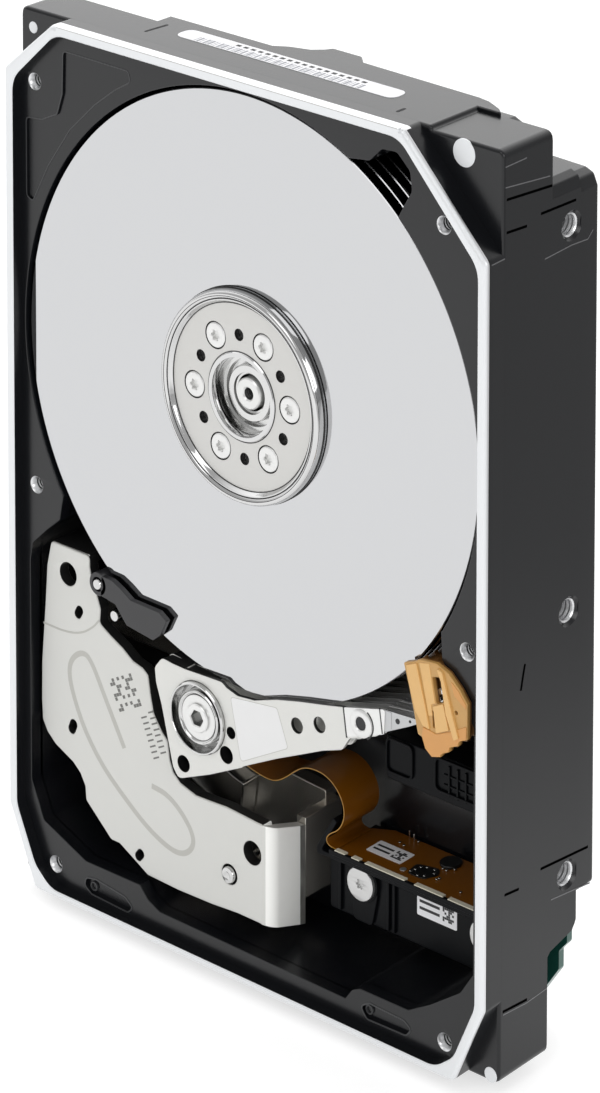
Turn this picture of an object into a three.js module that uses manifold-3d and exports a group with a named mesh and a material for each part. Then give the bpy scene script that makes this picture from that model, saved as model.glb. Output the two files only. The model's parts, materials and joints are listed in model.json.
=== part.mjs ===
// 3.5-inch hard disk drive with its cover removed, standing on its connector end.
// Millimetres. X is the width, Z the length, and the open platter side faces -Y.
// A height h is measured from the circuit-board face towards the open side,
// so a point at height h lies at Y = HALF_DEPTH - h.
import * as THREE from 'three';
import { mergeVertices } from 'three/addons/utils/BufferGeometryUtils.js';
import Module from 'manifold-3d';

const wasm = await Module();
wasm.setup();

// Overall sizes
const HALF_WIDTH = 50.8;
const DEPTH = 25.7;
const HALF_DEPTH = DEPTH / 2;
const BODY_LOW = 2.0;
const BODY_HIGH = 146.5;

// Circuit board faces
const BOARD_LOW = 0.5;
const BOARD_HIGH = 1.7;

// Casting heights
const BOARD_RECESS = 4.2;
const FLOOR = 5.9;
const REAR_BODY_TOP = 10.8;
const CORNER_BLOCK_TOP = 21.8;
const LEDGE = 23.8;

// Side and rear mounting holes, from the standard 3.5-inch drive outline
const SIDE_HOLE_HEIGHT = 6.35;
const SIDE_HOLE_Z = [28.5, 70.11, 130.1];
const REAR_HOLE_X = 47.62;
const REAR_HOLE_Z = [41.28, 85.73];
const MOUNT_HOLE_RADIUS = 1.75;
const SIDE_HOLE_DEPTH = 3.2;
const REAR_HOLE_DEPTH = 3.6;

// Threaded holes and posts of the casting
const COVER_HOLE_RADIUS = 1.3;
const COVER_HOLE_LOW = 17.5;
const POST_RADIUS = 2.4;
const POST_TOP = 14.4;
const POST_HOLE_RADIUS = 1.1;
const POST_HOLE_LOW = 9.0;
const STATOR_SEAT_RADIUS = 6.2;
const STATOR_SEAT = 8.2;
const SHAFT_BOSS_RADIUS = 5.0;
const SHAFT_BOSS_TOP = 12.8;
const BACK_POCKET_TOP = 2.6;
const BACK_GROOVE_TOP = 1.2;

// Platter stack
const SPINDLE_Z = 95.9;
const PLATTERS = 8;
const PLATTER_RADIUS = 47.5;
const PLATTER_BORE = 12.5;
const PLATTER_THICK = 0.635;
const PITCH = 2.15;
const TOP_PLATTER_FACE = 23.15;
const STACK_BOTTOM = TOP_PLATTER_FACE - (PLATTERS - 1) * PITCH - PLATTER_THICK;
const SHROUD_RADIUS = 48.1;
// The shroud bulges past the top end of the rear body and is closed there by a thin wall.
const SHROUD_BULGE = { inner: 44, outer: 49, from: 66, to: 114, steps: 10, low: 4.9 };
const SPACER_RADIUS = 16.2;
const SPACER_BORE = 12.6;
const HUB_RADIUS = 12.4;
const HUB_TOP = 23.1;
const SHAFT_RADIUS = 2.5;

// Clamp on top of the stack
const CLAMP_RADIUS = 16.7;
const CLAMP_TOP = 24.5;
const CLAMP_SCREWS = 6;
const CLAMP_SCREW_CIRCLE = 10.1;
const CLAMP_SCREW_ANGLE = 63.5;
const CLAMP_HOLE_CIRCLE = 9.7;
const CLAMP_HOLE_ANGLE = 33.5;

// Actuator
const PIVOT_X = -9.2;
const PIVOT_Z = 41.6;
const ARMS = PLATTERS + 1;
const TOP_ARM_CENTRE = TOP_PLATTER_FACE - PLATTER_THICK / 2 + PITCH / 2;
const ARM_HALF_THICK = 0.35;
const SLEEVE_RADIUS = 6.2;
const PIVOT_SHAFT_RADIUS = 3.6;
const COIL_ANGLE = 201;
const COIL_LOW = 12.6;
const COIL_HIGH = 16.9;
const ARM_ANGLE = 16.6;

// Magnet assembly heights
const LOWER_YOKE_TOP = 8.4;
const LOWER_MAGNET_TOP = 11.9;
const UPPER_MAGNET_LOW = 17.7;
const UPPER_YOKE_LOW = 20.4;
const UPPER_YOKE_TOP = 22.5;

// Flex cable and its board
const FLEX_LOW = 6.6;
const FLEX_HIGH = 16.0;
const BRACKET_SHELF = [22.6, 23.7];
const FLEX_BOARD_TOP_Z = 24.1;
const FLEX_BOARD_HIGH = 16.2;
const BRACKET_WALL_TOP = 15.6;

const RAD = Math.PI / 180;

const MATERIALS = {
  casting: [0x1d1e20, 0.45, 0.3],
  platter: [0xd4d5d7, 0.08, 1.0],
  machined: [0xc9cbd0, 0.3, 1.0],
  steel: [0xb9bbbd, 0.35, 1.0],
  nickel: [0xd8d8d2, 0.35, 0.9],
  copper: [0xb5652a, 0.4, 0.9],
  magnet: [0x9a9c9e, 0.4, 0.8],
  black: [0x151617, 0.55, 0.0],
  ramp: [0xd8a066, 0.5, 0.0],
  flex: [0xa8641c, 0.45, 0.0],
  board: [0x1f5a3a, 0.5, 0.0],
  rubber: [0x202020, 0.8, 0.0],
  filter: [0xe6e6e2, 0.9, 0.0],
};

// ---- Solid helpers ----

// A closed solid from three.js geometry, with its faces turned outwards.
function solidOf(geometry) {
  const bare = geometry.clone();
  bare.deleteAttribute('normal');
  bare.deleteAttribute('uv');
  const welded = mergeVertices(bare, 1e-4);
  const position = welded.attributes.position;
  const source = welded.index.array;
  const triangles = [];
  for (let i = 0; i < source.length; i += 3) {
    const [a, b, c] = [source[i], source[i + 1], source[i + 2]];
    if (a !== b && b !== c && c !== a) triangles.push(a, b, c);
  }
  const corner = (k) => new THREE.Vector3().fromBufferAttribute(position, k);
  let volume = 0;
  for (let i = 0; i < triangles.length; i += 3) {
    const [a, b, c] = [0, 1, 2].map((k) => corner(triangles[i + k]));
    volume += a.dot(b.cross(c));
  }
  if (volume < 0) triangles.reverse();
  return new wasm.Manifold(new wasm.Mesh({
    numProp: 3,
    vertProperties: new Float32Array(position.array),
    triVerts: new Uint32Array(triangles),
  }));
}

function joined(...solids) {
  return solids.reduce((whole, part) => whole.add(part));
}

// A flat plate with the outline [x, z] points between two heights.
function plate(outline, low, high, holes = []) {
  const shape = new THREE.Shape(outline.map(([x, z]) => new THREE.Vector2(x, z)));
  for (const hole of holes) {
    shape.holes.push(new THREE.Path(hole.map(([x, z]) => new THREE.Vector2(x, z))));
  }
  const geometry = new THREE.ExtrudeGeometry(shape, { depth: high - low, bevelEnabled: false });
  geometry.rotateX(Math.PI / 2);
  geometry.translate(0, HALF_DEPTH - low, 0);
  return solidOf(geometry);
}

function circle(x, z, radius, sides) {
  const points = [];
  for (let i = 0; i < sides; i += 1) {
    const angle = (i / sides) * 2 * Math.PI;
    points.push([x + radius * Math.cos(angle), z + radius * Math.sin(angle)]);
  }
  return points;
}

function rod(x, z, radius, low, high, sides = 20) {
  return plate(circle(x, z, radius, sides), low, high);
}

function ring(x, z, outer, inner, low, high, sides) {
  return plate(circle(x, z, outer, sides), low, high, [circle(x, z, inner, sides)]);
}

// A turned piece from a closed profile of [radius, height] points.
function turned(profile, x, z, sides) {
  const points = [...profile, profile[0]].map(([r, h]) => new THREE.Vector2(r, h));
  const geometry = new THREE.LatheGeometry(points, sides);
  geometry.rotateX(Math.PI);
  geometry.translate(x, HALF_DEPTH, z);
  return solidOf(geometry);
}

function block(x0, x1, low, high, z0, z1) {
  return plate([[x0, z0], [x1, z0], [x1, z1], [x0, z1]], low, high);
}

// A prism along X from an outline of [height, z] points.
function crossPlate(outline, x0, x1) {
  const shape = new THREE.Shape(outline.map(([h, z]) => new THREE.Vector2(HALF_DEPTH - h, z)));
  const geometry = new THREE.ExtrudeGeometry(shape, { depth: x1 - x0, bevelEnabled: false });
  geometry.rotateX(Math.PI / 2);
  geometry.rotateZ(Math.PI / 2);
  geometry.translate(x0, 0, 0);
  return solidOf(geometry);
}

// Part of a ring seen from the open side, as an outline.
function sector(x, z, inner, outer, from, to, steps) {
  const points = [];
  const at = (radius, angle) => [
    x + radius * Math.cos(angle * RAD),
    z + radius * Math.sin(angle * RAD),
  ];
  for (let i = 0; i <= steps; i += 1) points.push(at(outer, from + ((to - from) * i) / steps));
  for (let i = steps; i >= 0; i -= 1) points.push(at(inner, from + ((to - from) * i) / steps));
  return points;
}

function fromPivot(radius, angle) {
  return [PIVOT_X + radius * Math.cos(angle * RAD), PIVOT_Z + radius * Math.sin(angle * RAD)];
}

// A round hole sunk sideways into either long edge of the casting.
function sideHole(side, z) {
  const geometry = new THREE.CylinderGeometry(
    MOUNT_HOLE_RADIUS, MOUNT_HOLE_RADIUS, SIDE_HOLE_DEPTH * 2, 12);
  geometry.rotateZ(Math.PI / 2);
  geometry.translate(side * HALF_WIDTH, HALF_DEPTH - SIDE_HOLE_HEIGHT, z);
  return solidOf(geometry);
}

const group = new THREE.Group();
group.name = 'hard_disk_drive';

function addPiece(name, solid, kind) {
  const mesh = solid.getMesh();
  const geometry = new THREE.BufferGeometry();
  geometry.setAttribute('position', new THREE.BufferAttribute(mesh.vertProperties, 3));
  geometry.setIndex(new THREE.BufferAttribute(mesh.triVerts, 1));
  const [color, roughness, metalness] = MATERIALS[kind];
  const flat = geometry.toNonIndexed();
  flat.computeVertexNormals();
  const material = new THREE.MeshStandardMaterial({ color, roughness, metalness });
  const part = new THREE.Mesh(flat, material);
  part.name = name;
  group.add(part);
}

// ---- Outlines of the casting ----

// Outer edge of the sealing rim, with its four cut corners.
const RIM_OUTER = [
  [-44.9, BODY_LOW], [44.9, BODY_LOW], [HALF_WIDTH, 15.0], [HALF_WIDTH, 130.0],
  [34.3, BODY_HIGH], [-40.0, BODY_HIGH], [-HALF_WIDTH, 137.4], [-HALF_WIDTH, 15.0],
];
const RIM_INNER = [
  [-41.2, 3.3], [41.4, 3.3], [43.8, 4.4], [45.1, 6.4], [48.6, 14.4], [48.9, 16.2],
  [48.9, 126.9], [47.8, 130.2], [34.6, 143.7], [31.4, 145.0], [-37.2, 145.0],
  [-40.2, 143.7], [-47.8, 136.6], [-48.9, 134.0], [-48.9, 16.2], [-48.5, 14.4],
  [-44.8, 6.0], [-43.3, 4.2],
];
const BLOCK_OUTLINE = [
  [-49.6, BODY_LOW], [49.6, BODY_LOW], [HALF_WIDTH, 3.2], [HALF_WIDTH, 145.3],
  [49.6, BODY_HIGH], [-49.6, BODY_HIGH], [-HALF_WIDTH, 145.3], [-HALF_WIDTH, 3.2],
];
// The rear body stops short of the top end and is notched at both top corners.
const REAR_OUTLINE = [
  [-HALF_WIDTH, BODY_LOW], [HALF_WIDTH, BODY_LOW], [HALF_WIDTH, 136.6], [49.8, 137.6],
  [45.2, 137.9], [43.6, 139.2], [42.0, 141.6], [39.0, 142.4],
  [-39.0, 142.4], [-42.0, 141.6], [-43.6, 139.2], [-45.2, 137.9],
  [-49.8, 137.6], [-HALF_WIDTH, 136.6],
];
// Raised part of the top end, as [x, height] points.
const TOP_END_BOSS_LOW = 141.0;
const TOP_END_BOSS = [
  [-4.6, REAR_BODY_TOP], [-0.6, 8.2], [1.8, 5.6], [7.8, 5.6], [9.8, 7.4], [33.9, 7.9],
  [36.3, 8.3], [39.4, 9.7], [41.0, REAR_BODY_TOP],
];
// Side corners at the connector end are cut back to clear the circuit board.
const BOARD_CORNER_CUT = [
  [-1, 1], [REAR_BODY_TOP, 1], [REAR_BODY_TOP, 17.4], [10.0, 17.9], [4.4, 20.3],
  [3.8, 24.4], [-1, 25.2],
];
const SIDE_WALL_X = 48.3;
const BOARD_CORNER_PLAN = [
  [43.8, 1], [52, 1], [52, 17.4], [SIDE_WALL_X, 17.4], [SIDE_WALL_X, 16.5], [43.8, 12.0],
];
// The open well below the platters that holds the actuator.
const ACTUATOR_WELL = [
  [-18.3, 6.4], [21.5, 6.2], [22.9, 8.0], [24.6, 8.8], [34.4, 8.9], [38.8, 11.3],
  [44.8, 15.3], [47.3, 19.0], [47.3, 57.4], [43.6, 63.0], [40.9, 66.2], [38.0, 74.0],
  [-38.0, 74.0], [-40.5, 66.0], [-44.6, 62.4], [-47.3, 56.0], [-47.3, 19.0],
  [-44.5, 13.0], [-34.9, 9.3], [-22.7, 9.3], [-20.9, 7.5],
];
// Pocket for the air filter beside the top right of the platters.
const FILTER_POCKET = [
  [22.5, 136.5], [27.9, 141.0], [29.4, 141.7], [32.2, 141.1], [33.8, 139.8],
  [34.5, 137.9], [34.2, 136.0], [32.9, 134.0], [31.5, 130.0],
];
const BOARD_OUTLINE = [
  [-40.6, 2.6], [40.6, 2.6], [45.4, 9.4], [45.4, 12.4], [47.0, 14.2], [47.0, 22.0],
  [44.2, 24.4], [44.2, 62.0], [24.0, 74.5], [-24.0, 74.5], [-44.2, 62.0], [-44.2, 24.4],
  [-47.0, 22.0], [-47.0, 14.2], [-45.4, 12.4], [-45.4, 9.4],
];
const BOARD_RECESS_OUTLINE = [
  [-52, 0], [52, 0], [52, 24.7], [44.7, 24.7], [44.7, 62.3], [24.2, 75.0], [-24.2, 75.0],
  [-44.7, 62.3], [-44.7, 24.7], [-52, 24.7],
];
const COVER_SCREWS = [
  [-45.6, 135.6], [-45.7, 69.0], [-41.7, 6.5], [41.0, 133.0], [45.9, 68.9], [41.8, 6.5],
];
const BRACKET_SCREWS = [[17.4, 19.8], [42.6, 19.8]];
const RAMP_SCREW = [40.9, 60.3];
const RAMP_SCREW_HEAD = { radius: 1.4, low: 23.3, high: 24.1 };
const LATCH_PIVOT = [-31.2, 56.9];

// ---- Pieces fixed to the casting ----

function topEndBoss() {
  const shape = new THREE.Shape(TOP_END_BOSS.map(([x, h]) => new THREE.Vector2(x, h)));
  const depth = BODY_HIGH - TOP_END_BOSS_LOW;
  const geometry = new THREE.ExtrudeGeometry(shape, { depth, bevelEnabled: false });
  geometry.scale(1, -1, 1);
  geometry.translate(0, HALF_DEPTH, TOP_END_BOSS_LOW);
  return solidOf(geometry);
}

function shroudBulge() {
  const { inner, outer, from, to, steps, low } = SHROUD_BULGE;
  return plate(sector(0, SPINDLE_Z, inner, outer, from, to, steps), low, REAR_BODY_TOP);
}

function baseCasting() {
  let body = joined(
    plate(REAR_OUTLINE, 0, REAR_BODY_TOP),
    plate(BLOCK_OUTLINE, REAR_BODY_TOP, CORNER_BLOCK_TOP),
    plate(RIM_OUTER, CORNER_BLOCK_TOP, DEPTH),
    topEndBoss(),
    shroudBulge(),
  );
  const top = DEPTH + 1;
  const cuts = [
    plate(RIM_INNER, LEDGE, top),
    rod(0, SPINDLE_Z, SHROUD_RADIUS, FLOOR, top, 60),
    plate(ACTUATOR_WELL, FLOOR, top),
    plate(FILTER_POCKET, FLOOR, top),
    plate(BOARD_RECESS_OUTLINE, -1, BOARD_RECESS),
    crossPlate(BOARD_CORNER_CUT, SIDE_WALL_X, HALF_WIDTH + 1),
    crossPlate(BOARD_CORNER_CUT, -HALF_WIDTH - 1, -SIDE_WALL_X),
    plate(BOARD_CORNER_PLAN, -1, REAR_BODY_TOP),
    plate(BOARD_CORNER_PLAN.map(([x, z]) => [-x, z]), -1, REAR_BODY_TOP),
  ];
  for (const [from, to] of [[18, 72], [78, 102], [108, 162]]) {
    cuts.push(plate(sector(0, SPINDLE_Z, 24, 43, from, to, 5), -1, BACK_POCKET_TOP));
  }
  cuts.push(ring(0, SPINDLE_Z, 19.5, 15.5, -1, BACK_GROOVE_TOP, 24));
  for (const [x, z] of COVER_SCREWS) {
    cuts.push(rod(x, z, COVER_HOLE_RADIUS, COVER_HOLE_LOW, top, 10));
  }
  for (const z of SIDE_HOLE_Z) cuts.push(sideHole(-1, z), sideHole(1, z));
  for (const z of REAR_HOLE_Z) {
    for (const x of [-REAR_HOLE_X, REAR_HOLE_X]) {
      cuts.push(rod(x, z, MOUNT_HOLE_RADIUS, -1, REAR_HOLE_DEPTH, 12));
    }
  }
  for (const cut of cuts) body = body.subtract(cut);
  body = body.add(rod(0, SPINDLE_Z, STATOR_SEAT_RADIUS, FLOOR - 1, STATOR_SEAT, 20));
  body = body.add(rod(0, SPINDLE_Z, SHAFT_BOSS_RADIUS, FLOOR - 1, SHAFT_BOSS_TOP, 20));
  body = body.subtract(rod(0, SPINDLE_Z, SHAFT_RADIUS + 0.1, FLOOR, SHAFT_BOSS_TOP + 1, 20));
  for (const [x, z] of BRACKET_SCREWS) {
    body = body.add(rod(x, z, POST_RADIUS, FLOOR - 1, POST_TOP, 16));
    body = body.subtract(rod(x, z, POST_HOLE_RADIUS, POST_HOLE_LOW, POST_TOP + 1, 12));
  }
  return body;
}

const STATOR_HEIGHT = 4.4;

function stator() {
  const teeth = 9;
  const outline = [];
  for (let i = 0; i < teeth; i += 1) {
    const mid = (i * 360) / teeth;
    const points = [[6.9, -13], [6.9, -8], [8.4, -8], [8.4, -16], [9.2, -16]];
    const half = points.concat([[9.2, 0]], points.slice().reverse().map(([r, a]) => [r, -a]));
    for (const [radius, offset] of half) {
      const angle = (mid + offset) * RAD;
      outline.push([radius * Math.cos(angle), SPINDLE_Z + radius * Math.sin(angle)]);
    }
  }
  const bore = circle(0, SPINDLE_Z, SHAFT_BOSS_RADIUS + 0.06, 24);
  return plate(outline, STATOR_SEAT, STATOR_SEAT + STATOR_HEIGHT, [bore]);
}

function spindleShaft() {
  const shaft = rod(0, SPINDLE_Z, SHAFT_RADIUS, FLOOR, 24.6, 24);
  return shaft.subtract(rod(0, SPINDLE_Z, 0.9, 21.6, 25, 12));
}

// The two magnet carriers share one outline seen from the open side.
const YOKE_OUTLINE = [
  [-43.9, 59.6], [-35.2, 59.6], [-35.2, 57.8], [-34.0, 54.0], [-32.9, 50.2], [-30.6, 47.8],
  [-25.6, 45.1], [-22.2, 43.8], [-21.7, 40.9], [-21.0, 37.9], [-19.1, 35.0], [-17.4, 31.2],
  [-15.3, 28.2], [-11.7, 27.3], [4.6, 27.2], [4.6, 10.9], [-22.3, 10.6], [-28.6, 13.8],
  [-30.5, 13.8], [-36.2, 18.6], [-36.6, 21.4], [-39.1, 24.0], [-43.2, 25.8], [-45.4, 28.0],
  [-46.3, 32.4], [-46.2, 39.0], [-45.8, 43.8],
];
const DOWEL = [-4.3, 16.8];

function upperYoke() {
  let yoke = plate(YOKE_OUTLINE, UPPER_YOKE_LOW, UPPER_YOKE_TOP);
  yoke = yoke.add(block(2.5, 4.6, 14.6, UPPER_YOKE_TOP, 10.9, 27.2));
  yoke = yoke.add(block(-43.9, -35.2, 14.6, UPPER_YOKE_TOP, 57.8, 59.6));
  const holes = [[-40.1, 55.2, 1.9], [0.6, 21.9, 1.9], [-39.3, 30.0, 0.9], [-24.2, 13.4, 0.9]];
  for (const [x, z, radius] of holes) {
    yoke = yoke.subtract(rod(x, z, radius, 19, 24, 16));
  }
  return yoke.subtract(rod(DOWEL[0], DOWEL[1], 1.55, 19, 24, 16));
}

function lowerYoke() {
  let yoke = plate(YOKE_OUTLINE, FLOOR, LOWER_YOKE_TOP);
  yoke = yoke.add(block(2.5, 4.6, FLOOR, 14.6, 12.4, 25.6));
  yoke = yoke.add(block(-42.9, -36.2, FLOOR, 14.6, 57.8, 59.6));
  return yoke.subtract(rod(DOWEL[0], DOWEL[1], 1.55, FLOOR - 1, LOWER_YOKE_TOP + 1, 16));
}

function magnet(low, high) {
  return plate(sector(PIVOT_X, PIVOT_Z, 16.8, 31.0, 180, 262, 14), low, high);
}

function crashStop() {
  const [x, z] = fromPivot(27.0, 268.5);
  return rod(x, z, 1.4, LOWER_YOKE_TOP, UPPER_YOKE_LOW, 16);
}

function pivotShaft() {
  const shaft = rod(PIVOT_X, PIVOT_Z, PIVOT_SHAFT_RADIUS, FLOOR, 24.4, 24);
  return shaft.subtract(rod(PIVOT_X, PIVOT_Z, 1.7, 22.8, 26, 6));
}

// Bearing sleeve with a shallow round channel in its open face.
function pivotSleeve() {
  const bore = PIVOT_SHAFT_RADIUS + 0.1;
  const sleeve = ring(PIVOT_X, PIVOT_Z, SLEEVE_RADIUS, bore, 6.6, 24.3, 24);
  return sleeve.subtract(ring(PIVOT_X, PIVOT_Z, 5.5, 4.2, 22.9, 26, 24));
}

// Comb that parks the heads: one finger level with each platter, and a roof on top.
function loadRamp() {
  const spine = [
    ...sector(PIVOT_X, PIVOT_Z, 51.4, 51.4, 11.6, 27.0, 5).slice(0, 6),
    [39.6, 65.6], [43.0, 62.6], [46.9, 57.0], [46.9, 56.0], [44.8, 54.4], [42.7, 53.0],
  ];
  const fingers = sector(PIVOT_X, PIVOT_Z, 48.3, 51.6, 11.6, 27.0, 5);
  const roof = [
    ...sector(PIVOT_X, PIVOT_Z, 48.3, 48.3, 10.6, 27.6, 5).slice(0, 6),
    [36.3, 65.3], [37.4, 65.6], [40.7, 65.9], [43.1, 65.1], [45.4, 63.2], [46.9, 61.4],
    [46.9, 56.0], [45.4, 55.3], [45.1, 54.4], [43.5, 53.7], [43.3, 52.9], [41.9, 52.2],
    [41.0, 51.7], [39.8, 51.1],
  ];
  let comb = plate(spine, FLOOR, LEDGE + 0.2);
  for (let i = 0; i < PLATTERS; i += 1) {
    const middle = TOP_PLATTER_FACE - PLATTER_THICK / 2 - i * PITCH;
    comb = comb.add(plate(fingers, middle - 0.42, middle + 0.42));
  }
  comb = comb.subtract(rod(0, SPINDLE_Z, PLATTER_RADIUS + 0.5, 0, DEPTH, 60));
  comb = comb.add(plate(roof, LEDGE, 24.8).subtract(
    plate(sector(PIVOT_X, PIVOT_Z, 40, 50.9, 5, 35, 5), 23, 24.4)));
  comb = comb.subtract(rod(...RAMP_SCREW, 0.9, 19, 26, 12));
  const seat = rod(...RAMP_SCREW, RAMP_SCREW_HEAD.radius + 0.1, RAMP_SCREW_HEAD.low, 26, 12);
  return comb.subtract(seat);
}

function screw(x, z, headRadius, headLow, headHigh, shankRadius, shankLow) {
  const head = rod(x, z, headRadius, headLow, headHigh, 10);
  const socket = rod(x, z, headRadius * 0.42, headHigh - 0.4, headHigh + 1, 6);
  return head.add(rod(x, z, shankRadius, shankLow, headLow, 6)).subtract(socket);
}

function flexBracket() {
  const wall = plate(
    [[10.2, 13.4], [40.6, 13.4], [44.6, 17.2], [45.6, 20.0], [45.6, 23.4], [10.2, 23.4]],
    POST_TOP, BRACKET_WALL_TOP);
  const shelf = block(12.6, 45.6, FLEX_LOW, BRACKET_WALL_TOP, ...BRACKET_SHELF);
  let bracket = wall.add(shelf);
  for (const [x, z] of BRACKET_SCREWS) bracket = bracket.subtract(rod(x, z, 1.2, 14, 16, 12));
  return bracket;
}

// Ribbon that rises from the arm block, loops over and runs down to the flex board.
function flexCable() {
  const path = new THREE.CatmullRomCurve3([
    [-9.2, 31.8], [-5.0, 31.0], [-1.0, 30.9], [2.4, 32.6], [5.6, 34.9], [9.2, 35.5],
    [12.6, 33.9], [14.3, 31.2], [14.3, 28.4], [13.2, 26.2], [13.2, 24.2],
  ].map(([x, z]) => new THREE.Vector3(x, 0, z)));
  const half = 0.12;
  const steps = 28;
  const rows = [];
  for (let i = 0; i <= steps; i += 1) {
    const point = path.getPoint(i / steps);
    const along = path.getTangent(i / steps);
    rows.push([point.x, point.z, along.z * half, -along.x * half]);
  }
  const outline = [
    ...rows.map(([x, z, dx, dz]) => [x + dx, z + dz]),
    ...rows.slice().reverse().map(([x, z, dx, dz]) => [x - dx, z - dz]),
  ];
  return plate(outline, FLEX_LOW, FLEX_HIGH);
}

function sataConnector() {
  const shell = block(-2.0, 40.5, 0.4, 4.1, 0, 7.0);
  const slot = block(0.5, 38.0, 1.3, 3.1, -1, 5.0);
  return shell.subtract(slot);
}

function circuitBoard() {
  return plate(BOARD_OUTLINE, BOARD_LOW, BOARD_HIGH).subtract(block(-2.3, 40.8, 0, 5, 0, 7.3));
}

// ---- Turning pieces ----

function spindleHub() {
  let hub = turned([
    [2.9, 13.3], [5.6, 13.3], [5.6, 18.8], [10.6, 18.8], [10.6, 6.8], [15.5, 6.8],
    [15.5, STACK_BOTTOM], [HUB_RADIUS, STACK_BOTTOM], [HUB_RADIUS, HUB_TOP],
    [4.0, HUB_TOP], [4.0, 24.3], [2.9, 24.3],
  ], 0, SPINDLE_Z, 28);
  for (let i = 0; i < CLAMP_SCREWS; i += 1) {
    const [x, z] = clampPoint(CLAMP_SCREW_CIRCLE, CLAMP_SCREW_ANGLE, i);
    hub = hub.subtract(rod(x, z, 1.1, 19.6, 24, 6));
  }
  return hub;
}

function clampPoint(radius, start, index) {
  const angle = (start + index * (360 / CLAMP_SCREWS)) * RAD;
  return [radius * Math.cos(angle), SPINDLE_Z + radius * Math.sin(angle)];
}

function diskClamp() {
  let clamp = turned([
    [4.3, TOP_PLATTER_FACE], [CLAMP_RADIUS, TOP_PLATTER_FACE], [CLAMP_RADIUS, 23.8],
    [15.4, CLAMP_TOP], [7.2, CLAMP_TOP], [6.8, 24.9], [4.3, 24.9],
  ], 0, SPINDLE_Z, 30);
  for (let i = 0; i < CLAMP_SCREWS; i += 1) {
    const [x, z] = clampPoint(CLAMP_SCREW_CIRCLE, CLAMP_SCREW_ANGLE, i);
    clamp = clamp.subtract(rod(x, z, 1.1, 22, 26, 6));
    clamp = clamp.subtract(rod(x, z, 2.4, 24.0, 26, 10));
    const [hx, hz] = clampPoint(CLAMP_HOLE_CIRCLE, CLAMP_HOLE_ANGLE, i);
    clamp = clamp.subtract(rod(hx, hz, 0.95, 22, 26, 6));
  }
  return clamp;
}

// ---- Swinging pieces ----

// Body of the arm block around the pivot, seen from the open side.
const BLOCK_ROOT = [
  [-17.2, 48.7], [-18.6, 46.9], [-18.4, 44.5], [-17.3, 41.2], [-15.7, 35.2], [-14.8, 31.8],
  [-13.4, 30.4], [-6.9, 33.0], [0.5, 36.6], [0.5, 47.9], [-9.3, 48.5],
];
const ARM_OUTLINE = [
  [-17.2, 48.8], [-18.7, 46.9], [-18.4, 44.5], [-15.7, 35.2], [-14.8, 31.8], [-13.5, 30.3],
  [-0.8, 36.1], [7.5, 40.2], [21.2, 46.0], [22.7, 48.3], [28.8, 50.6], [28.8, 54.6],
  [21.2, 52.7], [7.5, 49.6], [2.8, 48.1], [-0.8, 47.8], [-3.2, 48.3], [-9.3, 48.7],
];
const DISK_SLOT_RADIUS = 7.5;
const ARM_HOLES = [[11.8, 46.9, 1.3], [16.5, 48.4, 1.3], [25.2, 51.5, 1.4]];
const BASE_PLATE = [[22.8, 48.6], [29.6, 51.1], [29.8, 55.0], [21.6, 52.6]];

function armHeight(index) {
  return TOP_ARM_CENTRE - index * PITCH;
}

function armBlock() {
  const low = armHeight(ARMS - 1) - ARM_HALF_THICK;
  let body = plate(BLOCK_ROOT, low, armHeight(0) + ARM_HALF_THICK);
  const slot = sector(PIVOT_X, PIVOT_Z, DISK_SLOT_RADIUS, 14.5, -16, 114, 8);
  body = body.subtract(plate(slot, low - 1, DEPTH));
  const holes = ARM_HOLES.map(([x, z, radius]) => circle(x, z, radius, 6));
  for (let i = 0; i < ARMS; i += 1) {
    const middle = armHeight(i);
    body = body.add(plate(ARM_OUTLINE, middle - ARM_HALF_THICK, middle + ARM_HALF_THICK, holes));
  }
  return body.subtract(rod(PIVOT_X, PIVOT_Z, SLEEVE_RADIUS + 0.1, low - 1, 26, 24));
}

// Base plates, load beams and lift tabs for the one or two heads on an arm.
function suspension(index) {
  const middle = armHeight(index);
  const inner = ARM_HALF_THICK;
  const outer = ARM_HALF_THICK + 0.12;
  const bond = 0.05;
  const tip = fromPivot(47.9, ARM_ANGLE);
  const tab = fromPivot(50.6, ARM_ANGLE);
  const beam = [
    [29.0, 50.9], [tip[0], tip[1] - 0.9], [tab[0], tab[1] - 0.35], [tab[0], tab[1] + 0.35],
    [tip[0], tip[1] + 0.6], [29.2, 54.8],
  ];
  const slider = fromPivot(46.0, ARM_ANGLE);
  const sides = [];
  if (index < ARMS - 1) sides.push(-1);
  if (index > 0) sides.push(1);
  const from = (side, a, b) => (side > 0 ? [middle + a, middle + b] : [middle - b, middle - a]);
  let solid = rod(25.2, 51.5, 1.15, middle - inner - bond, middle + inner + bond, 6);
  for (const side of sides) {
    solid = solid.add(plate(BASE_PLATE, ...from(side, inner, outer)));
    solid = solid.add(plate(beam, ...from(side, inner, outer)));
    const [low, high] = from(side, outer - bond, outer + 0.15);
    solid = solid.add(block(slider[0] - 0.6, slider[0] + 0.6, low, high,
      slider[1] - 0.4, slider[1] + 0.4));
  }
  return solid;
}

function coilOutline(inner, outer, half) {
  return sector(PIVOT_X, PIVOT_Z, inner, outer, COIL_ANGLE - half, COIL_ANGLE + half, 8);
}

function voiceCoil() {
  return plate(coilOutline(16.4, 30.4, 20), COIL_LOW, COIL_HIGH, [coilOutline(20.6, 26.2, 10)]);
}

function coilFrame() {
  const frame = plate(coilOutline(10.2, 31.8, 22.5), COIL_LOW + 0.4, COIL_HIGH - 0.4);
  const coil = plate(coilOutline(16.3, 30.5, 20.2), 0, DEPTH);
  return frame.subtract(coil).subtract(plate(BLOCK_ROOT, 0, DEPTH));
}

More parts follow.
